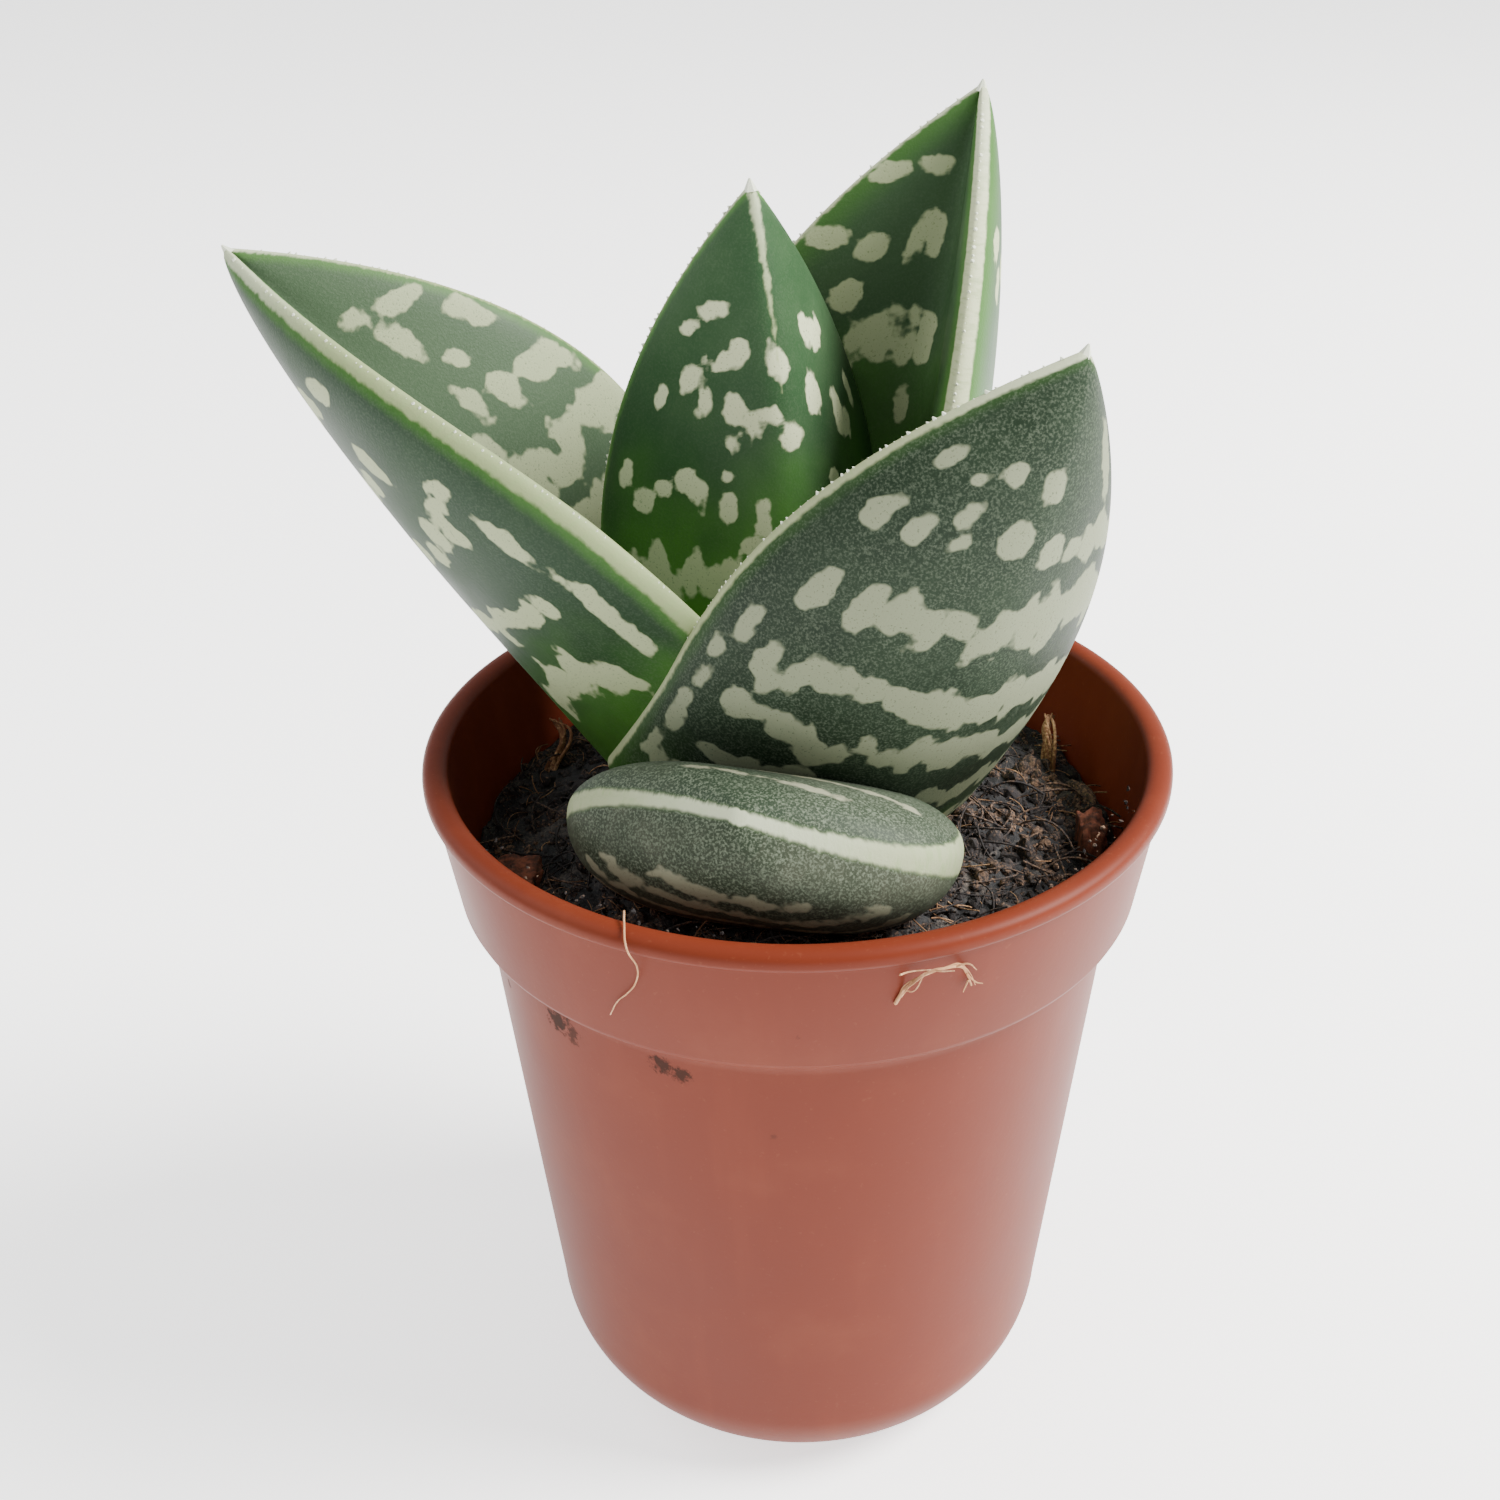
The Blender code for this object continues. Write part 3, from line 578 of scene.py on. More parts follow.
@dataclass
class Leaf:
    """A keeled, channelled leaf. Base and tip are measured from the crown; angles are in degrees."""
    name: str
    base: tuple              # where the midline starts, mm
    tip: tuple               # where it ends, mm
    bow: tuple               # how far the midline bows, towards the back and sideways, mm
    faces: tuple             # azimuth and elevation that the back of the leaf turns to
    twist: float             # turn from base to tip
    half_width: float        # at the widest place, mm
    widest: float            # where that is, as a share of the length
    base_width: float        # width at the base, as a share of the widest
    tip_shape: float         # 2 is a pointed tip, 4 a blunt one
    fold: float              # how far the margins rise, as a share of the half width
    fold_round: float        # 0 is a sharp fold, 1 a round one
    back_swell: float        # thickness behind the folded sheet, mm
    face_swell: float        # thickness in front of it, mm
    channel: float           # how much of the front thickness is missing along the midline
    keel: float              # height of the keel along the back, mm
    low_band: tuple          # width of the pale edge at across -1, at the base, middle and tip, mm
    high_band: tuple         # the same at across +1
    keel_line: tuple         # the same of the pale line on the keel
    speckle_and_glint: float           # how strong the whitish speckle is: the waxy papillae, with their glints painted in as pale colour
    young: float             # how far up the fresh green of the base reaches, as a share of the length
    teeth: float             # size of the teeth, against the usual
    seed: int


LEAVES = [
    Leaf("leaf_front_low", (-1.9, -3.8, 1.3), (-3.6, -20.7, 12.2), (2.2, 1.4), (-97, 7), -43,
         13.6, 0.41, 0.85, 3.7, 0.0, 0.5, 6.4, 4.2, 0.0, 0.0,
         (1.0, 0.9, 0.42), (1.8, 1.5, 0.42), (-2.0, -2.0, -2.0), 1.7, 0.0, 0.0, 4),
    Leaf("leaf_front_right", (0.0, -3.4, -1.6), (17.2, -12.7, 39.4), (6.6, -0.8), (-63, 6), 15,
         14.4, 0.28, 1.0, 2.9, 0.42, 0.6, 3.1, 1.5, 0.6, 0.1,
         (0.95, 0.75, 0.85), (0.45, 0.6, 0.9), (-2.0, -2.0, -2.0), 0.8, 0.12, 0.8, 11),
    Leaf("leaf_left", (-4.3, 1.7, -5.5), (-38.7, 6.5, 40.9), (-2.4, 2.7), (195, -72), -35,
         13.8, 0.51, 0.68, 1.7, 0.82, 0.35, 3.6, 1.7, 0.6, 0.4,
         (0.4, 0.35, 0.5), (1.5, 1.25, 0.6), (0.0, 0.0, 0.3), 0.3, 0.34, 0.7, 17),
    Leaf("leaf_back_right", (3.0, 3.4, -4.0), (13.1, 14.0, 49.5), (2.5, 0.5), (40, -19), 4,
         13.4, 0.39, 0.70, 2.25, 0.88, 0.32, 3.0, 1.5, 0.6, 0.4,
         (1.6, 1.5, 0.7), (0.3, 0.25, 0.4), (0.0, 0.0, 0.3), 0.25, 0.60, 0.8, 23),
    Leaf("leaf_centre", (3.1, -1.2, -3.0), (-2.7, 1.9, 45.8), (-0.5, -0.9), (-66, 0), -3,
         11.3, 0.36, 0.70, 2.25, 0.87, 0.30, 2.2, 1.3, 0.6, 0.4,
         (0.3, 0.3, 0.5), (0.3, 0.3, 0.5), (-1.2, -0.5, 0.45), 0.2, 0.56, 1.0, 31),
]

# Single flecks: across, share of the length, half width and half length in mm. Rows of flecks that run
# together: share of the length, from and to across, half width, half length, and the rise of the middle.
SPOTS = {
    ("leaf_front_right", "back"): [
        (-0.72, 0.835, 0.75, 0.8), (-0.48, 0.822, 0.35, 0.3), (-0.30, 0.84, 0.75, 0.7),
        (-0.02, 0.835, 0.8, 1.1), (0.58, 0.86, 0.9, 2.3), (-0.76, 0.74, 0.9, 1.3),
        (-0.56, 0.735, 0.75, 1.1), (-0.40, 0.765, 0.6, 1.2), (-0.36, 0.735, 0.7, 0.8),
        (-0.10, 0.752, 1.1, 1.2), (0.14, 0.742, 0.9, 1.1), (0.30, 0.745, 0.8, 0.8),
        (-0.72, 0.60, 0.95, 1.9), (-0.52, 0.60, 1.0, 1.7), (-0.40, 0.625, 0.8, 1.2),
        (-0.27, 0.60, 0.8, 1.5), (-0.85, 0.49, 0.6, 1.6), (-0.72, 0.455, 0.75, 1.5),
        (-0.67, 0.42, 0.7, 1.2), (-0.90, 0.42, 0.45, 1.2), (-0.88, 0.36, 0.5, 1.4),
        (-0.89, 0.29, 0.5, 1.5), (-0.88, 0.23, 0.5, 1.3), (-0.90, 0.16, 0.5, 1.3),
    ],
    ("leaf_centre", "back"): [
        (-0.45, 0.845, 1.0, 0.5), (-0.62, 0.822, 0.65, 0.45), (-0.20, 0.79, 0.5, 0.65),
        (-0.31, 0.776, 0.55, 0.4), (-0.43, 0.785, 0.3, 0.25), (-0.70, 0.73, 0.5, 0.9),
        (-0.53, 0.75, 0.7, 0.8), (-0.42, 0.728, 0.55, 1.1), (-0.23, 0.715, 0.5, 0.8),
        (-0.25, 0.665, 0.4, 0.5), (-0.14, 0.69, 0.5, 0.9), (-0.06, 0.70, 0.35, 0.5),
        (-0.84, 0.625, 0.5, 0.9), (-0.72, 0.585, 0.75, 0.8), (-0.62, 0.60, 0.6, 0.6),
        (-0.50, 0.617, 0.75, 0.8), (-0.43, 0.60, 0.5, 1.1), (-0.28, 0.622, 0.4, 0.4),
        (-0.28, 0.578, 0.5, 1.0), (-0.13, 0.555, 0.45, 1.1), (-0.17, 0.52, 0.8, 0.45),
        (0.27, 0.80, 0.5, 0.9), (0.38, 0.785, 0.8, 1.0), (0.47, 0.795, 0.45, 0.7), (0.20, 0.71, 0.75, 1.4),
        (0.42, 0.665, 0.65, 1.4), (0.50, 0.64, 0.6, 1.1), (0.66, 0.68, 0.5, 0.9), (0.24, 0.585, 0.5, 0.5),
        (0.0, 0.77, 0.45, 0.9), (0.02, 0.665, 0.65, 0.9), (0.60, 0.55, 0.5, 1.0), (0.38, 0.535, 0.6, 1.0),
        (0.75, 0.50, 0.5, 0.9), (0.15, 0.52, 0.5, 0.9),
    ],
    ("leaf_left", "back"): [
        (0.68, 0.805, 0.95, 0.8), (0.40, 0.805, 0.9, 1.0), (0.28, 0.79, 0.5, 0.7), (0.52, 0.705, 0.8, 1.5),
        (0.34, 0.69, 0.8, 0.9), (0.22, 0.685, 0.6, 0.9), (0.76, 0.648, 0.8, 0.6), (0.66, 0.632, 0.8, 0.6),
        (0.60, 0.60, 0.6, 1.3), (0.48, 0.605, 0.9, 1.2), (0.35, 0.585, 0.9, 0.9), (0.20, 0.59, 0.9, 1.0),
        (0.78, 0.56, 0.65, 1.8), (0.83, 0.435, 0.6, 2.7), (-0.10, 0.80, 0.5, 1.1), (-0.22, 0.78, 0.7, 0.8),
        (-0.20, 0.69, 0.6, 1.8), (-0.07, 0.69, 0.5, 1.1), (-0.40, 0.57, 0.6, 1.4),
    ],
    ("leaf_left", "face"): [
        (-0.43, 0.845, 0.6, 0.5), (-0.50, 0.79, 0.55, 1.2), (-0.78, 0.828, 1.0, 0.6),
        (-0.88, 0.765, 0.6, 1.3), (-0.60, 0.73, 0.5, 0.6), (-0.47, 0.68, 0.55, 1.3),
        (-0.63, 0.665, 0.7, 1.3), (-0.80, 0.66, 1.0, 1.1), (-0.92, 0.655, 0.6, 1.2),
        (-0.35, 0.62, 0.6, 1.0), (-0.20, 0.70, 0.6, 1.1), (0.0, 0.80, 0.6, 0.8),
    ],
    ("leaf_back_right", "face"): [
        (0.42, 0.90, 1.0, 0.5), (0.82, 0.882, 0.9, 0.7), (0.22, 0.825, 0.7, 1.0), (0.19, 0.80, 0.6, 0.7),
        (0.34, 0.805, 0.45, 1.2), (0.59, 0.785, 0.8, 0.9), (0.86, 0.79, 1.2, 0.65), (0.60, 0.72, 0.9, 1.1),
        (0.08, 0.68, 0.9, 1.7), (0.20, 0.68, 0.4, 1.7), (0.27, 0.685, 0.4, 1.3), (0.34, 0.67, 0.4, 1.5),
        (0.41, 0.672, 0.4, 1.0), (0.48, 0.665, 0.5, 1.4), (0.66, 0.62, 0.6, 1.1), (0.85, 0.60, 0.6, 1.0),
        (0.15, 0.59, 0.5, 1.0), (0.40, 0.57, 0.6, 1.2),
    ],
}
ROWS = {
    ("leaf_front_right", "back"): [
        (0.74, 0.42, 0.92, 1.0, 1.3, 0.0), (0.605, -0.42, -0.05, 1.0, 1.5, 0.0),
        (0.615, -0.02, 0.95, 1.0, 2.0, 0.01), (0.47, -0.58, 0.95, 1.05, 1.75, 0.01),
        (0.355, -0.72, 0.95, 1.0, 1.45, 0.015), (0.245, -0.70, 0.95, 1.0, 1.2, 0.01),
        (0.14, -0.85, 0.95, 0.9, 1.1, 0.0),
    ],
    ("leaf_centre", "back"): [
        (0.475, -0.80, -0.05, 0.7, 1.5, 0.0), (0.34, -0.8, 0.8, 0.9, 1.5, 0.0),
        (0.46, 0.05, 0.8, 0.6, 1.3, 0.0),
    ],
    ("leaf_left", "back"): [
        (0.475, 0.14, 0.66, 0.75, 0.9, 0.0), (0.345, 0.15, 0.68, 0.6, 1.4, 0.03),
        (0.25, 0.6, 0.9, 0.5, 0.9, 0.0), (0.595, -0.36, -0.03, 0.6, 0.9, 0.0),
        (0.49, -0.55, -0.04, 0.6, 0.8, 0.0), (0.36, -0.8, -0.05, 0.6, 1.1, 0.0),
    ],
    ("leaf_left", "face"): [(0.565, -0.95, -0.2, 0.7, 1.5, 0.0), (0.47, -0.95, -0.2, 0.7, 1.2, 0.0)],
    ("leaf_back_right", "face"): [(0.49, 0.0, 0.9, 0.6, 1.1, 0.0), (0.38, 0.0, 0.9, 0.6, 1.1, 0.0)],
    ("leaf_front_low", "back"): [
        (0.86, -0.6, 0.6, 0.25, 0.2, 0.0), (0.78, -0.85, 0.85, 0.35, 0.35, 0.0),
        (0.70, -0.85, 0.85, 0.4, 0.3, 0.0), (0.60, -0.8, 0.8, 0.5, 0.45, 0.0),
        (0.45, -0.85, 0.85, 0.5, 0.5, 0.0),
    ],
    ("leaf_front_low", "face"): [
        (0.70, -0.8, 0.8, 0.3, 0.3, 0.0), (0.85, -0.6, 0.6, 0.25, 0.22, 0.0),
    ],
}
ROW_PITCH = 1.20             # from one fleck to the next in a row, as a share of a fleck's half width


def leaf_frame(leaf, share):
    """Place, back and side of the midline at an array of shares of the length."""
    crown = np.array(CROWN)
    base = crown + np.array(leaf.base) * MM
    tip = crown + np.array(leaf.tip) * MM
    azimuth, elevation = np.radians(leaf.faces)
    level = np.cos(elevation)
    turned_to = np.array((level * np.cos(azimuth), level * np.sin(azimuth), np.sin(elevation)))

    def unit(rows):
        return rows / np.linalg.norm(rows, axis=-1, keepdims=True)

    chord = unit(tip - base)
    chord_back = unit(turned_to - turned_to.dot(chord) * chord)
    chord_side = np.cross(chord, chord_back)
    middle = (base + tip) * 0.5 + (leaf.bow[0] * chord_back + leaf.bow[1] * chord_side) * MM
    share = np.asarray(share, float)[..., None]
    place = (1 - share) ** 2 * base + 2 * share * (1 - share) * middle + share ** 2 * tip
    along = unit((1 - share) * (middle - base) + share * (tip - middle))
    back = unit(turned_to - (along @ turned_to)[..., None] * along)
    side = np.cross(along, back)
    twist = np.radians(leaf.twist) * (share - 0.5)
    turned_back = np.cos(twist) * back + np.sin(twist) * side
    turned_side = np.cos(twist) * side - np.sin(twist) * back
    return place, turned_back, turned_side, along


def half_width(leaf, share):
    rise = np.sin(np.minimum(share / leaf.widest, 1.0) * np.pi / 2)
    below = leaf.base_width + (1 - leaf.base_width) * rise
    above = 1 - np.clip((share - leaf.widest) / (1 - leaf.widest), 0.0, 1.0) ** leaf.tip_shape
    return leaf.half_width * np.where(share < leaf.widest, below, above) * MM


KEEL_SPREAD = 0.12           # half width of the keel, as a share of the half width of the leaf
CHANNEL_SPREAD = 0.3         # the same of the channel along the face
THINNING = 0.6               # thickness goes with width to this power
EDGE_POWER = 3               # 2 rounds a section off like an ellipse; more keeps it thick nearer the edge
# How much narrower the half at across +1 is at the base, so that it doesn't come through the back of the
# next leaf, and how far up this reaches, as a share of the length
PRESSED_IN = {"leaf_centre": (0.5, 0.55)}
PRESS_EASE = 1.3             # the power with which this fades upwards


def leaf_points(leaf, share, across, on_back):
    """Points on the skin, for arrays of share, across (-1 to 1 between the margins) and side."""
    place, back, side, along = leaf_frame(leaf, share)
    width = half_width(leaf, share)
    slim = np.minimum(1.0, (width / (leaf.half_width * MM)) ** THINNING)
    pressed, reach_up = PRESSED_IN.get(leaf.name, (0.0, 1.0))
    fade = np.clip(1 - share / reach_up, 0.0, 1.0) ** PRESS_EASE
    width = width * (1 - (across > 0) * pressed * fade)
    soft = leaf.fold_round
    reach = math.sqrt(1 + soft * soft) - soft
    bend = np.sqrt(across ** 2 + soft ** 2)
    lift = leaf.fold * (bend - soft) / reach
    slope = leaf.fold * across / (bend * reach)
    steep = np.sqrt(1 + slope ** 2)
    round_off = np.sqrt(np.maximum(0.0, 1 - np.abs(across) ** EDGE_POWER))
    keel = leaf.keel * np.exp(-(across / KEEL_SPREAD) ** 2)
    channel = 1 - leaf.channel * np.exp(-(across / CHANNEL_SPREAD) ** 2)
    behind = -(leaf.back_swell * round_off + keel)
    before = leaf.face_swell * round_off * channel
    offset = np.where(on_back, behind, before) * slim * MM
    sideways = across * width - slope / steep * offset
    towards_face = lift * width + offset / steep
    return place + sideways[..., None] * side - towards_face[..., None] * back


def row_spots(leaf, side, chance):
    """The flecks of a side: single ones, and those of its rows, each a little different. A side without
    either gets five even rows and twelve single flecks above them."""
    spots = [(*spot, 0.0) for spot in SPOTS.get((leaf.name, side), [])]
    rows = ROWS.get((leaf.name, side), [])
    if not spots and not rows:
        rows = [(share, -0.85, 0.85, 0.6, 1.0, 0.01) for share in np.arange(0.12, 0.66, 0.115)]
        spots = [(chance.uniform(-0.8, 0.8), chance.uniform(0.68, 0.9), chance.uniform(0.4, 0.8),
                  chance.uniform(0.6, 1.2), 0.0) for _ in range(12)]
    for share, start, end, wide, long, raised in rows:
        pitch = ROW_PITCH * wide / leaf.half_width
        across = start
        while across < end:
            middle = 1 - (2 * (across - start) / (end - start) - 1) ** 2
            shifted = share + raised * middle + chance.normal(0, 0.35 * long) / LEAF_LENGTHS[leaf.name]
            one_wide = wide * chance.uniform(0.7, 1.25)
            one_long = long * chance.uniform(0.6, 1.2)
            spots.append((across, shifted, one_wide, one_long, chance.normal(0, 0.25)))
            across += pitch * chance.uniform(0.75, 1.25)
    return spots


LEAF_LENGTHS = {leaf.name: float(np.linalg.norm(np.subtract(leaf.tip, leaf.base))) for leaf in LEAVES}
SPOT_BLEND = 0.10            # how softly two flecks run together, mm
# How far the flecks of a leaf spread past their sizes, mm
FLECK_SPREAD = {"leaf_left": 0.22, "leaf_centre": 0.12, "leaf_back_right": 0.15, "leaf_front_right": 0.05}
FLECK_SQUARE = 2.4           # outline of a fleck: 2 is an ellipse, more is squarer
FACE_SHARE = 0.6             # how far the skin of the face goes over to its own green, which is partly painted light


def spot_distance(leaf, spots, share, across, stretch):
    """Distance in mm from the union of the flecks, less than 0 inside."""
    total = np.zeros_like(share)
    for centre_across, centre_share, wide, long, lean in spots:
        u = (across - centre_across) * stretch
        v = (share - centre_share) * LEAF_LENGTHS[leaf.name]
        u, v = u * math.cos(lean) + v * math.sin(lean), v * math.cos(lean) - u * math.sin(lean)
        ratio = (np.abs(u / wide) ** FLECK_SQUARE + np.abs(v / long) ** FLECK_SQUARE) ** (1 / FLECK_SQUARE)
        total += np.exp(-np.clip((ratio - 1) * min(wide, long), -2.0, 4.0) / SPOT_BLEND)
    return np.clip(-SPOT_BLEND * np.log(total + 1e-12), -2.0, 2.0)


def band_width(widths, share):
    """Width of a band given at the base, the middle and the tip."""
    return np.interp(share, (0.0, 0.5, 1.0), widths)


def leaf_mesh(leaf):
    """A fine loft with the distances from flecks, edges and keel line stored on its points."""
    chance = np.random.default_rng(leaf.seed)
    around = 2 * HALF_ROUND_STEPS
    step = np.arange(ALONG_STEPS) / (ALONG_STEPS - 1)
    shares = TIP_SHARE * (0.45 * step + 0.55 * np.sin(step * np.pi / 2))
    angle = math.tau * np.arange(around) / around
    share, angle = np.meshgrid(shares, angle, indexing="ij")
    across = -np.cos(angle)
    on_back = (np.arange(around) <= HALF_ROUND_STEPS)[None, :] & np.ones_like(share, bool)
    points = leaf_points(leaf, share, across, on_back)

    # Arc length from the margin at across -1, all the way round each ring
    following = np.roll(points, -1, axis=1)
    chords = np.linalg.norm(following - points, axis=2) / MM
    arc_length = np.concatenate([np.zeros((ALONG_STEPS, 1)), np.cumsum(chords, axis=1)], axis=1)
    half_way = arc_length[:, HALF_ROUND_STEPS][:, None]
    whole = arc_length[:, -1][:, None]
    here = arc_length[:, :-1]
    from_low = np.minimum(here, whole - here)
    from_high = np.abs(here - half_way)
    low_edge = from_low - band_width(leaf.low_band, share)
    high_edge = from_high - band_width(leaf.high_band, share)
    edge = np.minimum(low_edge, high_edge)
    from_keel = np.abs(here - half_way / 2)
    keel_line = np.where(on_back, from_keel - band_width(leaf.keel_line, share), 2.0)
    stretch = np.where(on_back, half_way, whole - half_way) / 2
    back_fleck = spot_distance(leaf, row_spots(leaf, "back", chance), share, across, stretch)
    face_fleck = spot_distance(leaf, row_spots(leaf, "face", chance), share, across, stretch)
    fleck = np.where(on_back, back_fleck, face_fleck) - FLECK_SPREAD.get(leaf.name, 0.0)

    mesh = bpy.data.meshes.new(leaf.name)
    count = ALONG_STEPS * around
    index = np.arange(count).reshape(ALONG_STEPS, around)
    next_round = np.roll(index, -1, axis=1)
    quads = np.stack([index[:-1], next_round[:-1], next_round[1:], index[1:]], axis=2)
    base_cap = [(index[0, k + 1], index[0, k], index[0, (around - k) % around], index[0, around - k - 1])
                for k in range(1, HALF_ROUND_STEPS - 1)]
    base_cap += [(index[0, 1], index[0, 0], index[0, around - 1]),
                 (index[0, HALF_ROUND_STEPS], index[0, HALF_ROUND_STEPS - 1], index[0, HALF_ROUND_STEPS + 1])]
    tip_fan = [(index[-1, k], index[-1, (k + 1) % around], count) for k in range(around)]
    tip = leaf_frame(leaf, np.array([1.0]))[0]
    vertices = np.concatenate([points.reshape(-1, 3), tip])
    mesh.from_pydata(vertices.tolist(), [], quads.reshape(-1, 4).tolist() + base_cap + tip_fan)
    tip_values = {"fleck": 2.0, "edge": -1.0, "keel_line": 0.5, "share": 1.0, "on_face": 0.0}
    for title, values in (("fleck", fleck), ("edge", edge), ("keel_line", keel_line), ("share", share),
                          ("on_face", FACE_SHARE * ~on_back)):
        layer = mesh.attributes.new(title, "FLOAT", "POINT")
        layer.data.foreach_set("value", np.append(values.ravel(), tip_values[title]).astype(np.float32))
    lengthwise = mesh.attributes.new("skin_place", "FLOAT_VECTOR", "POINT")
    own_layer = np.full_like(share, leaf.seed * 3.0)
    flat = np.stack([here, share * LEAF_LENGTHS[leaf.name], own_layer], axis=2).reshape(-1, 3)
    lengthwise.data.foreach_set("vector", np.append(flat, flat[-1:], axis=0).astype(np.float32).ravel())
    shape = bmesh.new()
    shape.from_mesh(mesh)
    bmesh.ops.recalc_face_normals(shape, faces=shape.faces)
    shape.to_mesh(mesh)
    shape.free()
    mesh.shade_smooth()
    return mesh


# The skin: distances and places in; colour, roughness and relief out
leaf_group, skin_in, skin_out = new_group("Leaf skin", [
    ("Place", "Vector", None), ("Skin place", "Vector", None),
    ("Fleck", "Float", 1.0), ("Edge", "Float", 1.0),
    ("Glow reach", "Float", 0.75), ("Face", "Float", 0.0), ("Face green and painted light", "Color", None),
    ("Keel line", "Float", 1.0), ("Share", "Float", 0.5), ("Speckle and glint", "Float", 0.5), ("Young", "Float", 0.3),
    ("Deep green", "Color", None), ("Fresh green", "Color", None), ("Bloom", "Color", None),
    ("Fleck colour", "Color", None), ("Edge colour", "Color", None)],
    [("Color", "Color"), ("Roughness", "Float"), ("Height", "Float")])
group = leaf_group
ground = step_mask(group, cloud(group, skin_in["Place"], 110.0, 4.0, 0.6), 0.35, 0.7)
deep = mix(group, math_node(group, "MULTIPLY", ground, 0.45), skin_in["Deep green"], skin_in["Bloom"])
# On the face side the colour goes over to the face green: partly painted light, much lighter on leaf_left's
# lit face
deep = mix(group, skin_in["Face"], deep, skin_in["Face green and painted light"])
stretched = scaled_place(group, skin_in["Skin place"], (1.0, 0.22, 1.0))
patch = cloud(group, skin_in["Place"], 130.0, 2.0)
reach_up = math_node(group, "MULTIPLY_ADD", patch, 0.3, skin_in["Share"])
above = math_node(group, "SUBTRACT", math_node(group, "SUBTRACT", reach_up, 0.15), skin_in["Young"])
freshness = step_mask(group, above, 0.14, -0.24)
skin_colour = mix(group, freshness, deep, skin_in["Fresh green"])
veins = cloud(group, scaled_place(group, skin_in["Skin place"], (1.0, 0.08, 1.0)), 2.2, 3.0)
skin_colour = mix(group, math_node(group, "MULTIPLY", step_mask(group, veins, 0.5, 0.72), 0.10), skin_colour,
                  skin_in["Bloom"])
grain = cloud(group, skin_in["Place"], 6000.0, 2.0, 0.6)
spread = cloud(group, skin_in["Place"], 260.0, 2.0)
# Whitish speckle: partly the real waxy papillae, partly painted glints, set stronger on the leaves that meet
# the light at a grazing angle
speckle_and_glint_mask = math_node(group, "MULTIPLY", step_mask(group, grain, 0.42, 0.70),
                         math_node(group, "MULTIPLY_ADD", spread, 0.8, 0.25))
speckle_and_glint_mask = math_node(group, "MULTIPLY", speckle_and_glint_mask, skin_in["Speckle and glint"])
skin_colour = mix(group, math_node(group, "MULTIPLY", speckle_and_glint_mask, 0.42), skin_colour, (0.20, 0.24, 0.17, 1))
ragged = math_node(group, "SUBTRACT", cloud(group, skin_in["Place"], 1500.0, 3.0, 0.6), 0.5)
wavy = math_node(group, "SUBTRACT", cloud(group, stretched, 1.4, 2.0), 0.5)
lobes = math_node(group, "SUBTRACT", cloud(group, skin_in["Place"], 560.0, 2.0), 0.5)
rough_fleck = math_node(group, "MULTIPLY_ADD", lobes, 1.4, skin_in["Fleck"])
wavy_fleck = math_node(group, "MULTIPLY_ADD", wavy, 0.15, rough_fleck)
fleck_at = math_node(group, "MULTIPLY_ADD", ragged, 0.30, wavy_fleck)
fleck_mask = step_mask(group, fleck_at, 0.10, -0.14)
pores = step_mask(group, grain, 0.40, 0.30)
inside = mix(group, math_node(group, "MULTIPLY", pores, 0.5), skin_in["Fleck colour"], skin_in["Bloom"])
inside = mix(group, math_node(group, "MULTIPLY", freshness, 0.25), inside, (0.47, 0.56, 0.26, 1))
skin_colour = mix(group, math_node(group, "MULTIPLY", fleck_mask, 0.93), skin_colour, inside)
wavy_edge = math_node(group, "MULTIPLY_ADD", wavy, 0.35, skin_in["Edge"])
edge_at = math_node(group, "MULTIPLY_ADD", ragged, 0.45, wavy_edge)
wavy_keel = math_node(group, "MULTIPLY_ADD", wavy, 0.5, skin_in["Keel line"])
keel_at = math_node(group, "MULTIPLY_ADD", ragged, 0.5, wavy_keel)
edge_mask = step_mask(group, edge_at, 0.14, -0.22)
glow_fall = node(group, "ShaderNodeMapRange", {
    "Value": edge_at, "From Min": 0.05, "From Max": skin_in["Glow reach"], "To Min": 1.0, "To Max": 0.0},
    interpolation_type="SMOOTHSTEP").outputs[0]
glow = math_node(group, "MULTIPLY", glow_fall, 0.36)
skin_colour = mix(group, math_node(group, "MULTIPLY", glow, math_node(group, "SUBTRACT", 1.0, fleck_mask)),
                  skin_colour, skin_in["Fresh green"])
keel_mask = math_node(group, "MULTIPLY", step_mask(group, keel_at, 0.12, -0.2), 0.8)
horn = math_node(group, "MAXIMUM", edge_mask, keel_mask)
ridges = cloud(group, scaled_place(group, skin_in["Skin place"], (0.25, 1.0, 1.0)), 3.2, 2.0)
horn_colour = mix(group, math_node(group, "MULTIPLY", step_mask(group, ridges, 0.45, 0.72), 0.45),
                  skin_in["Edge colour"], (0.22, 0.30, 0.13, 1))
whiter = step_mask(group, skin_in["Share"], 0.80, 1.0)
horn_colour = mix(group, math_node(group, "MULTIPLY", whiter, 0.5), horn_colour, (0.52, 0.56, 0.42, 1))
skin_colour = mix(group, horn, skin_colour, horn_colour)
group.links.new(skin_colour, skin_out["Color"])
rough_fleck_skin = math_node(group, "MULTIPLY_ADD", fleck_mask, 0.08, 0.44)
rough_skin = math_node(group, "MULTIPLY_ADD", speckle_and_glint_mask, 0.25, rough_fleck_skin)
group.links.new(math_node(group, "MULTIPLY_ADD", ground, 0.12, rough_skin), skin_out["Roughness"])
vein_relief = math_node(group, "MULTIPLY_ADD", veins, 0.5, grain)
relief = math_node(group, "MULTIPLY_ADD", fleck_mask, 0.5, vein_relief)
group.links.new(math_node(group, "MULTIPLY_ADD", horn, ridges, relief), skin_out["Height"])
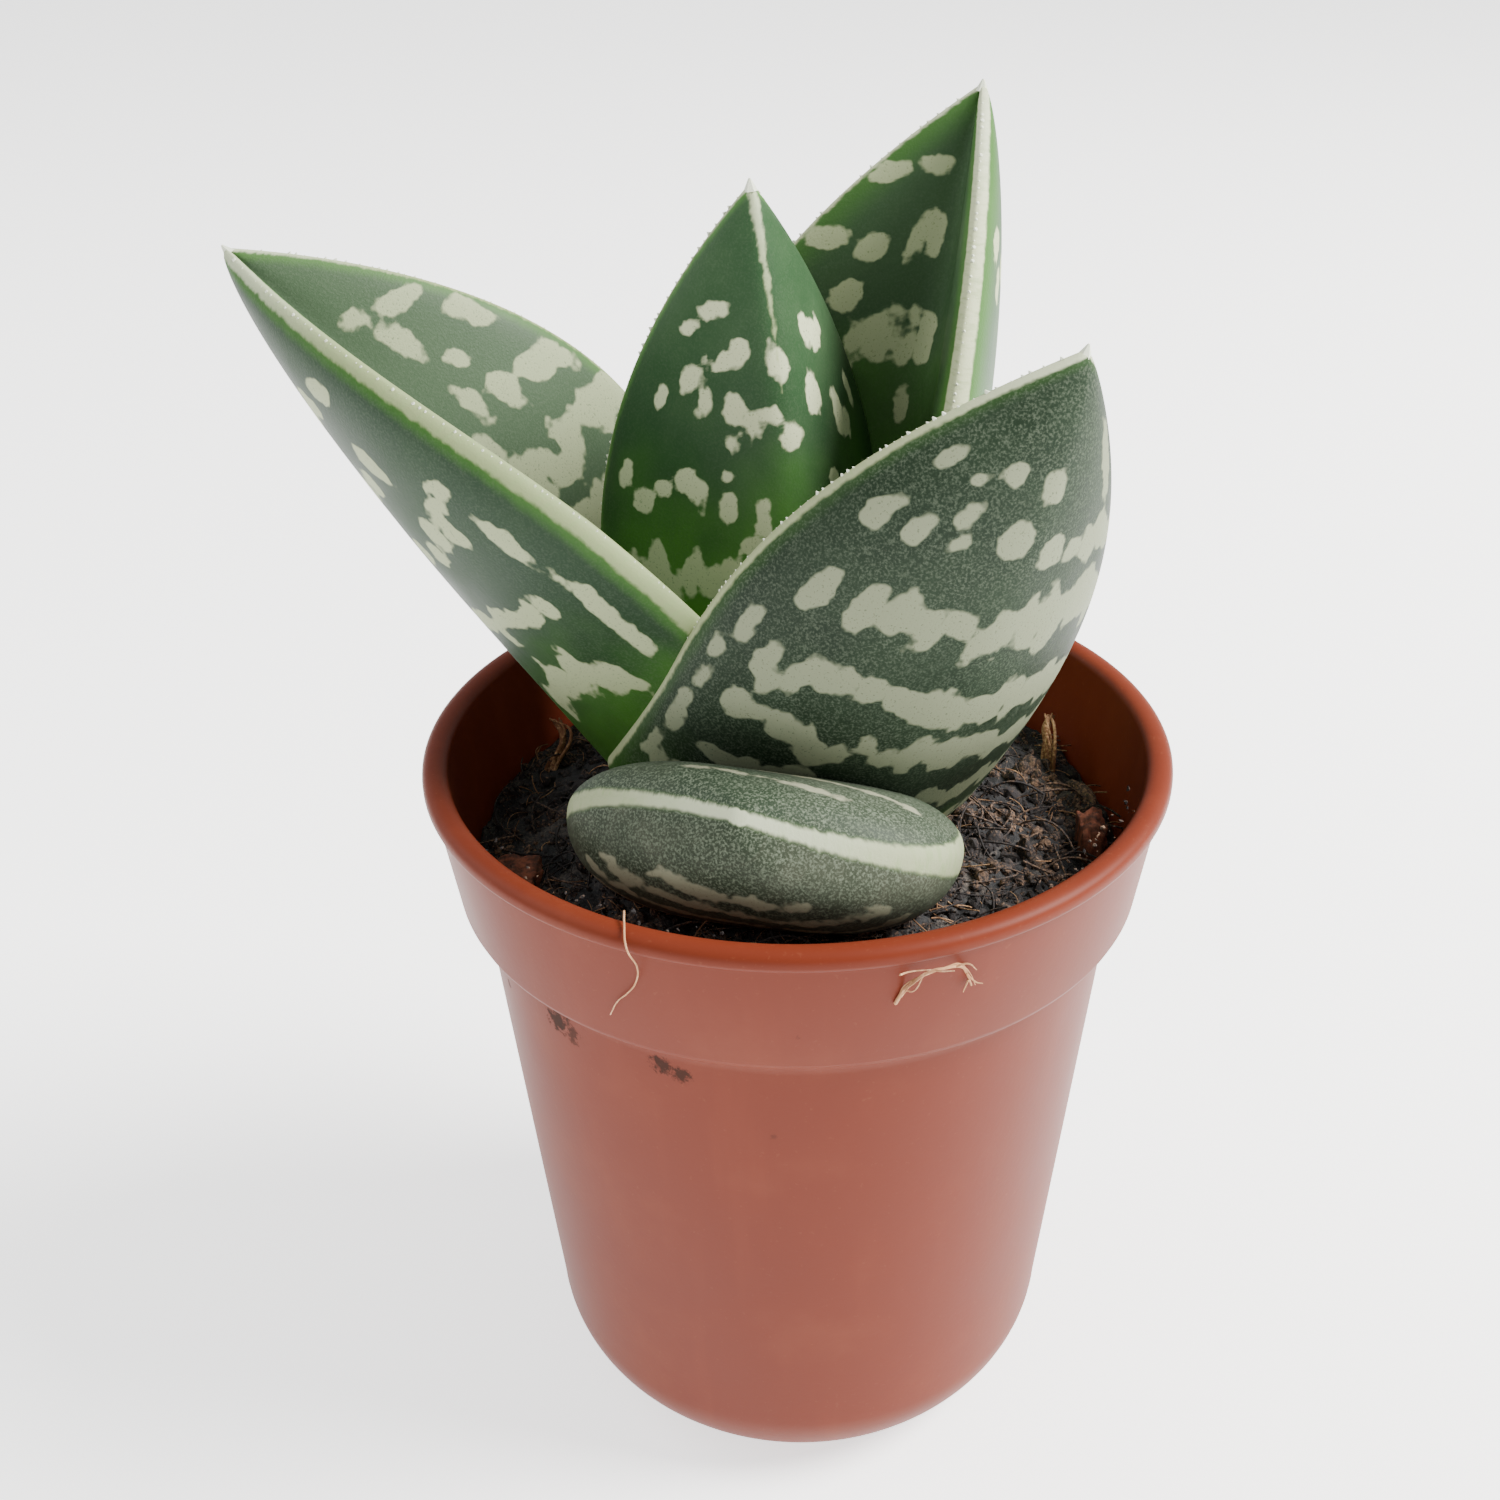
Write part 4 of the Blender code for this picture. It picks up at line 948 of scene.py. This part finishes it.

# Deep green, fresh green, bloom, flecks, horny edge and green of the face of each leaf. The face green is
# partly painted light: on leaf_left it is much lighter, for the light on its face.
LEAF_TONES = {
    "leaf_front_low": ((0.024, 0.034, 0.020), (0.05, 0.09, 0.03), (0.11, 0.11, 0.08),
                       (0.26, 0.265, 0.18), (0.30, 0.335, 0.20), (0.020, 0.036, 0.020)),
    "leaf_front_right": ((0.009, 0.019, 0.009), (0.028, 0.085, 0.011), (0.024, 0.042, 0.022),
                         (0.21, 0.235, 0.15), (0.30, 0.335, 0.185), (0.02, 0.04, 0.02)),
    "leaf_left": ((0.010, 0.029, 0.011), (0.07, 0.21, 0.022), (0.030, 0.056, 0.027),
                  (0.31, 0.35, 0.205), (0.24, 0.29, 0.14), (0.070, 0.112, 0.060)),
    "leaf_back_right": ((0.034, 0.080, 0.031), (0.075, 0.22, 0.022), (0.07, 0.125, 0.058),
                        (0.42, 0.47, 0.27), (0.46, 0.50, 0.30), (0.045, 0.09, 0.04)),
    # leaf_centre's greens, its fresh green most, are set lighter as painted light, making up for the shade
    # the leaves in front cast on its base
    "leaf_centre": ((0.025, 0.064, 0.025), (0.105, 0.30, 0.035), (0.060, 0.11, 0.050),
                    (0.56, 0.60, 0.38), (0.36, 0.42, 0.21), (0.03, 0.07, 0.03)),
}
GLOW_REACH = {"leaf_front_low": 0.3, "leaf_back_right": 3.2, "leaf_left": 1.2, "leaf_front_right": 1.1}


def leaf_material(leaf):
    made, tree, shader = new_material(leaf.name + "_skin", 0.45, Specular_IOR_Level=0.12)
    group = node(tree, "ShaderNodeGroup", {}, node_tree=leaf_group)
    tree.links.new(object_place(tree), group.inputs["Place"])
    for title, socket in (("fleck", "Fleck"), ("edge", "Edge"), ("keel_line", "Keel line"),
                          ("share", "Share"), ("on_face", "Face")):
        read = node(tree, "ShaderNodeAttribute", attribute_name=title)
        tree.links.new(read.outputs["Fac"], group.inputs[socket])
    read = node(tree, "ShaderNodeAttribute", attribute_name="skin_place")
    tree.links.new(read.outputs["Vector"], group.inputs["Skin place"])
    group.inputs["Speckle and glint"].default_value = leaf.speckle_and_glint
    group.inputs["Young"].default_value = leaf.young
    group.inputs["Glow reach"].default_value = GLOW_REACH.get(leaf.name, 0.75)
    titles = ("Deep green", "Fresh green", "Bloom", "Fleck colour", "Edge colour", "Face green and painted light")
    for title, colour in zip(titles, LEAF_TONES[leaf.name]):
        group.inputs[title].default_value = (*colour, 1)
    tree.links.new(group.outputs["Color"], shader.inputs["Base Color"])
    tree.links.new(group.outputs["Roughness"], shader.inputs["Roughness"])
    add_bump(tree, shader, 0.35, 0.06 * MM, group.outputs["Height"])
    return made


# Teeth: one small horny cone on each point, along its outward direction
teeth_tree, given, result = new_geometry_tree("Teeth", [("Sides", "Int", 6), ("Material", "Material", None)])
cone = node(teeth_tree, "GeometryNodeMeshCone", {
    "Vertices": given["Sides"], "Radius Top": 0.08, "Radius Bottom": 0.5, "Depth": 1.0})
outward, tooth_size = (
    node(teeth_tree, "GeometryNodeInputNamedAttribute", {"Name": title}, data_type="FLOAT_VECTOR")
    for title in ("outward", "tooth_size"))
upright = node(teeth_tree, "FunctionNodeAlignRotationToVector", {"Vector": outward.outputs[0]}, axis="Z")
teeth = node(teeth_tree, "GeometryNodeInstanceOnPoints", {
    "Points": given["Geometry"], "Instance": cone.outputs["Mesh"], "Rotation": upright.outputs[0],
    "Scale": tooth_size.outputs[0]})
loose = node(teeth_tree, "GeometryNodeRealizeInstances", {"Geometry": teeth.outputs[0]})
clothe(teeth_tree, loose.outputs[0], given["Material"], result)

tooth_skin, tree, shader = new_material("leaf_teeth", 0.5)
tone = cloud(tree, object_place(tree), 900.0, 3.0)
tree.links.new(mix(tree, tone, (0.50, 0.56, 0.38, 1), (0.76, 0.78, 0.68, 1)), shader.inputs["Base Color"])

TOOTH_PITCH = 0.52 * MM
TOOTH_HEIGHT = 0.27 * MM
TOOTH_WIDTH = 1.5            # against its height
TOOTH_SUNK = 0.08 * MM
TOOTH_LEAN = 0.5             # how far the teeth lean towards the tip
TEETH_FROM, TEETH_TO = 0.12, 0.985     # where the teeth start and end, as shares of the length
POINT_SIZE = (0.95 * MM, 0.95 * MM, 0.8 * MM)


def teeth_mesh(leaf):
    """A point for each tooth along both margins. The last one is the leaf's own point."""
    chance = np.random.default_rng(leaf.seed + 100)
    places, outwards, sizes = [], [], []
    for across in (-1.0, 1.0):
        share = TEETH_FROM
        while share < TEETH_TO:
            at = np.array([share])
            here = leaf_points(leaf, at, np.array([across]), np.array([True]))[0]
            further_in = np.array([across * 0.9])
            behind = leaf_points(leaf, at, further_in, np.array([True]))[0]
            before = leaf_points(leaf, at, further_in, np.array([False]))[0]
            inner = (behind + before) / 2
            along = leaf_frame(leaf, at)[3][0]
            out = (here - inner) / np.linalg.norm(here - inner)
            height = TOOTH_HEIGHT * leaf.teeth * chance.uniform(0.35, 1.15) * (0.6 + 0.5 * share)
            lean = out + TOOTH_LEAN * chance.uniform(0.4, 1.4) * along
            places.append(here - out * TOOTH_SUNK)
            outwards.append(lean)
            sizes.append((height * TOOTH_WIDTH, height * TOOTH_WIDTH, height))
            share += TOOTH_PITCH * chance.uniform(0.6, 1.4) / (LEAF_LENGTHS[leaf.name] * MM)
    tip, _, _, along = (rows[0] for rows in leaf_frame(leaf, np.array([0.99])))
    places.append(tip)
    outwards.append(along)
    sizes.append(POINT_SIZE)
    mesh = bpy.data.meshes.new(leaf.name + "_teeth")
    mesh.from_pydata([tuple(place) for place in places], [], [])
    for title, rows in (("outward", outwards), ("tooth_size", sizes)):
        layer = mesh.attributes.new(title, "FLOAT_VECTOR", "POINT")
        layer.data.foreach_set("vector", np.array(rows, np.float32).ravel())
    return mesh


for leaf in LEAVES:
    blade = add_object(leaf.name + "_blade", leaf_mesh(leaf), leaf_material(leaf))
    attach(blade, "root")
    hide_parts(leaf.name)
    if leaf.teeth == 0.0:
        continue
    name = leaf.name + "_teeth"
    teeth_item = add_object(name, grown_mesh(name, teeth_mesh(leaf), teeth_tree, {"Material": tooth_skin}))
    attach(teeth_item, "root")

# ---- Bark chips ---------------------------------------------------------------------------
# Three chips of red-brown composted bark that came with the peat. They lie loose, half sunk in it.

chip_skin, tree, shader = new_material("bark", 0.82, Specular_IOR_Level=0.3)
place = object_place(tree)
layers = cloud(tree, scaled_place(tree, place, (1.0, 1.0, 0.25)), 1500.0, 4.0, 0.6)
redness = step_mask(tree, layers, 0.35, 0.65)
bark_colour = mix(tree, redness, (0.055, 0.020, 0.012, 1), (0.21, 0.065, 0.035, 1))
tree.links.new(bark_colour, shader.inputs["Base Color"])
add_bump(tree, shader, 0.7, 0.12 * MM, layers)

for name in ("bark_chip_right", "bark_chip_back", "bark_chip_left"):
    low, high = (Vector(corner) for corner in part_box(name))
    centre = (low + high) / 2
    reach = (high - low) / 2
    shape = bmesh.new()
    bmesh.ops.create_cube(shape, size=2.0)
    bmesh.ops.subdivide_edges(shape, edges=shape.edges, cuts=18, use_grid_fill=True)
    for vertex in shape.verts:
        way = vertex.co.normalized()
        boxy = max(abs(way.x), abs(way.y), abs(way.z)) ** 0.55
        place = Vector((way.x * reach.x, way.y * reach.y, way.z * reach.z)) / boxy
        torn = noise.fractal(place * 900.0 + centre * 5000.0, 0.8, 2.1, 4)
        split = noise.noise(Vector((place.x, place.y, place.z * 0.3)) * 2600.0)
        vertex.co = centre + place * (0.95 + 0.14 * torn + 0.05 * split)
    mesh = bpy.data.meshes.new(name + "_torn")
    shape.to_mesh(mesh)
    shape.free()
    mesh.shade_smooth()
    chip = add_object(name + "_torn", mesh, chip_skin)
    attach(chip, "root")
    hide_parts(name)

# ---- Rootlets and stray fibres ------------------------------------------------------------
# Dry rootlets that stick out of the peat, one on each side, and fibres that have dropped on the pot:
# a long hair over the rim at the front, and a frayed tuft beside it.

root_skin = peat_material("dry_root", (0.15, 0.065, 0.030), (0.52, 0.31, 0.17), 420.0, 0.06 * MM)
straw_skin = peat_material("straw_fibre", (0.42, 0.22, 0.11), (0.68, 0.44, 0.27), 300.0, 0.03 * MM)


def strand_mesh(name, points, radius, thin_end):
    """A round strand through the points, tapering to a share of its radius, with closed ends."""
    curve = bpy.data.curves.new(name, "CURVE")
    curve.dimensions = "3D"
    curve.resolution_u = 10
    curve.bevel_depth = radius
    curve.bevel_resolution = 2
    curve.use_fill_caps = True
    spline = curve.splines.new("BEZIER")
    spline.bezier_points.add(len(points) - 1)
    for index, (knot, point) in enumerate(zip(spline.bezier_points, points)):
        knot.co = point
        knot.handle_left_type = knot.handle_right_type = "AUTO"
        knot.radius = 1.0 + (thin_end - 1.0) * index / (len(points) - 1)
    guide = bpy.data.objects.new(name, curve)
    bpy.context.scene.collection.objects.link(guide)
    mesh = plain_mesh(guide)
    shape = bmesh.new()
    shape.from_mesh(mesh)
    bmesh.ops.remove_doubles(shape, verts=shape.verts, dist=0.000001)
    bmesh.ops.recalc_face_normals(shape, faces=shape.faces)
    shape.to_mesh(mesh)
    shape.free()
    mesh.materials.clear()
    mesh.shade_smooth()
    return mesh


def joined(name, meshes):
    shape = bmesh.new()
    for mesh in meshes:
        shape.from_mesh(mesh)
    whole = bpy.data.meshes.new(name)
    shape.to_mesh(whole)
    shape.free()
    whole.shade_smooth()
    return whole


def frayed(name, points, radius, strands, spread, seed):
    """A bundle of strands that follow the same points, each a little astray."""
    chance = random.Random(seed)
    meshes = []
    for index in range(strands):
        amount = spread * (0.3 + index / strands)
        path = [Vector(point) + Vector([chance.gauss(0, amount) for _ in range(3)]) for point in points]
        thickness = radius * (1.0 if index == 0 else chance.uniform(0.25, 0.55))
        meshes.append(strand_mesh(f"{name}_{index}", path, thickness, 0.45))
    return joined(name, meshes)


ROOTLETS = {
    "rootlet_right": [(20.6, 7.4, -4.2), (20.5, 8.0, -1.4), (19.9, 9.4, 0.7), (20.4, 10.9, 1.4)],
    "rootlet_left": [(-19.0, 5.6, -4.4), (-19.3, 7.4, -1.4), (-18.8, 9.0, 0.5), (-19.5, 10.8, 1.3)],
}
for name, points in ROOTLETS.items():
    points = [CROWN + Vector(point) * MM for point in points]
    mesh = frayed(name + "_frayed", points, 0.42 * MM, 7, 0.35 * MM, 5)
    root = add_object(name + "_frayed", mesh, root_skin)
    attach(root, "root")
    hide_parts(name)


def on_pot(azimuth, height, out=0.1):
    """A point on the collar's outside: azimuth in degrees, height in mm, and gap from it in mm."""
    height = height * MM
    share = min(1.0, max(0.0, (height - COLLAR_BASE) / (POT_HEIGHT - BEAD * 3.2 - COLLAR_BASE)))
    radius = COLLAR_FOOT_RADIUS + (RIM_RADIUS - BEAD - COLLAR_FOOT_RADIUS) * share
    if height > POT_HEIGHT - BEAD * 2.6:
        radius = RIM_RADIUS
    if height > POT_HEIGHT - 0.3 * MM:
        radius = RIM_RADIUS - rim_half
    angle = math.radians(azimuth)
    radius += out * MM
    return Vector((radius * math.cos(angle), radius * math.sin(angle), height))


hair = strand_mesh("stray_hair", [
    on_pot(-115.5, 58.5, -1.2), on_pot(-114, 58.55, 0.0), on_pot(-112.4, 57.7, 0.3),
    on_pot(-111.5, 56.0, 0.5), on_pot(-112.3, 54.4, 0.35), on_pot(-114.2, 53.0, 0.2),
    on_pot(-116.0, 52.0, 0.2), on_pot(-117.5, 50.6, 0.3),
], 0.07 * MM, 0.6)
tuft_arch = [
    on_pot(-76.5, 53.4, 0.1), on_pot(-75.6, 54.6, 0.2), on_pot(-75.0, 55.4, 0.6), on_pot(-73.0, 56.3, 0.8),
    on_pot(-70.5, 56.5, 0.9), on_pot(-68.2, 56.1, 0.6), on_pot(-66.3, 54.8, 0.2), on_pot(-65.3, 53.6, 0.15),
]
tuft_sides = [
    [on_pot(-76.8, 56.6, 0.9), on_pot(-75.2, 56.4, 0.5), on_pot(-72.5, 56.5, 0.8)],
    [on_pot(-74.8, 55.6, 0.6), on_pot(-75.6, 55.0, 0.7), on_pot(-76.6, 54.9, 1.2)],
    [on_pot(-72.0, 56.4, 0.8), on_pot(-71.6, 57.0, 1.2), on_pot(-70.6, 57.2, 1.6)],
    [on_pot(-69.0, 56.3, 0.8), on_pot(-67.6, 56.6, 1.2), on_pot(-66.9, 56.3, 1.6)],
    [on_pot(-66.6, 54.9, 0.3), on_pot(-65.6, 54.4, 0.8), on_pot(-64.8, 54.3, 1.0)],
    [on_pot(-66.0, 54.2, 0.2), on_pot(-66.6, 53.6, 0.3), on_pot(-67.0, 53.5, 0.5)],
]
tuft_strands = [frayed("tuft_arch", tuft_arch, 0.13 * MM, 4, 0.10 * MM, 3)]
for index, path in enumerate(tuft_sides):
    tuft_strands.append(strand_mesh(f"tuft_side_{index}", path, 0.07 * MM, 0.4))
tuft = joined("fibre_tuft", tuft_strands)
for name, mesh in (("stray_hair", hair), ("fibre_tuft", tuft)):
    fibre = add_object(name, mesh, straw_skin)
    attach(fibre, "root")


def rim_strip(name, start, end, inner, outer, height):
    """A strip on or just inside the rim between two azimuths, for scattering on."""
    steps = 24
    rows = []
    for step in range(steps + 1):
        angle = math.radians(start + (end - start) * step / steps)
        rows += [(radius * math.cos(angle), radius * math.sin(angle), height) for radius in (inner, outer)]
    faces = [(2 * step, 2 * step + 1, 2 * step + 3, 2 * step + 2) for step in range(steps)]
    mesh = bpy.data.meshes.new(name)
    mesh.from_pydata(rows, [], faces)
    return mesh


for name, start, end, inner, outer, height, values in [
    ("rim_crumbs_right", -52, -18, RIM_RADIUS - 3.4 * MM, RIM_RADIUS - 1.0 * MM, POT_HEIGHT - 0.35 * MM,
     {"Density": 1.5e6, "Smallest": 0.05 * MM, "Largest": 0.26 * MM, "Roundness": 1, "Seed": 4}),
    ("rim_crumbs_left", -150, -100, RIM_RADIUS - 3.0 * MM, RIM_RADIUS - 1.2 * MM, POT_HEIGHT - 0.35 * MM,
     {"Density": 0.9e6, "Smallest": 0.06 * MM, "Largest": 0.24 * MM, "Roundness": 1, "Seed": 14}),
]:
    values["Material"] = crumb_skin
    strip = rim_strip(name, start, end, inner, outer, height)
    litter = add_object(name, grown_mesh(name, strip, crumb_tree, values))
    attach(litter, "root")
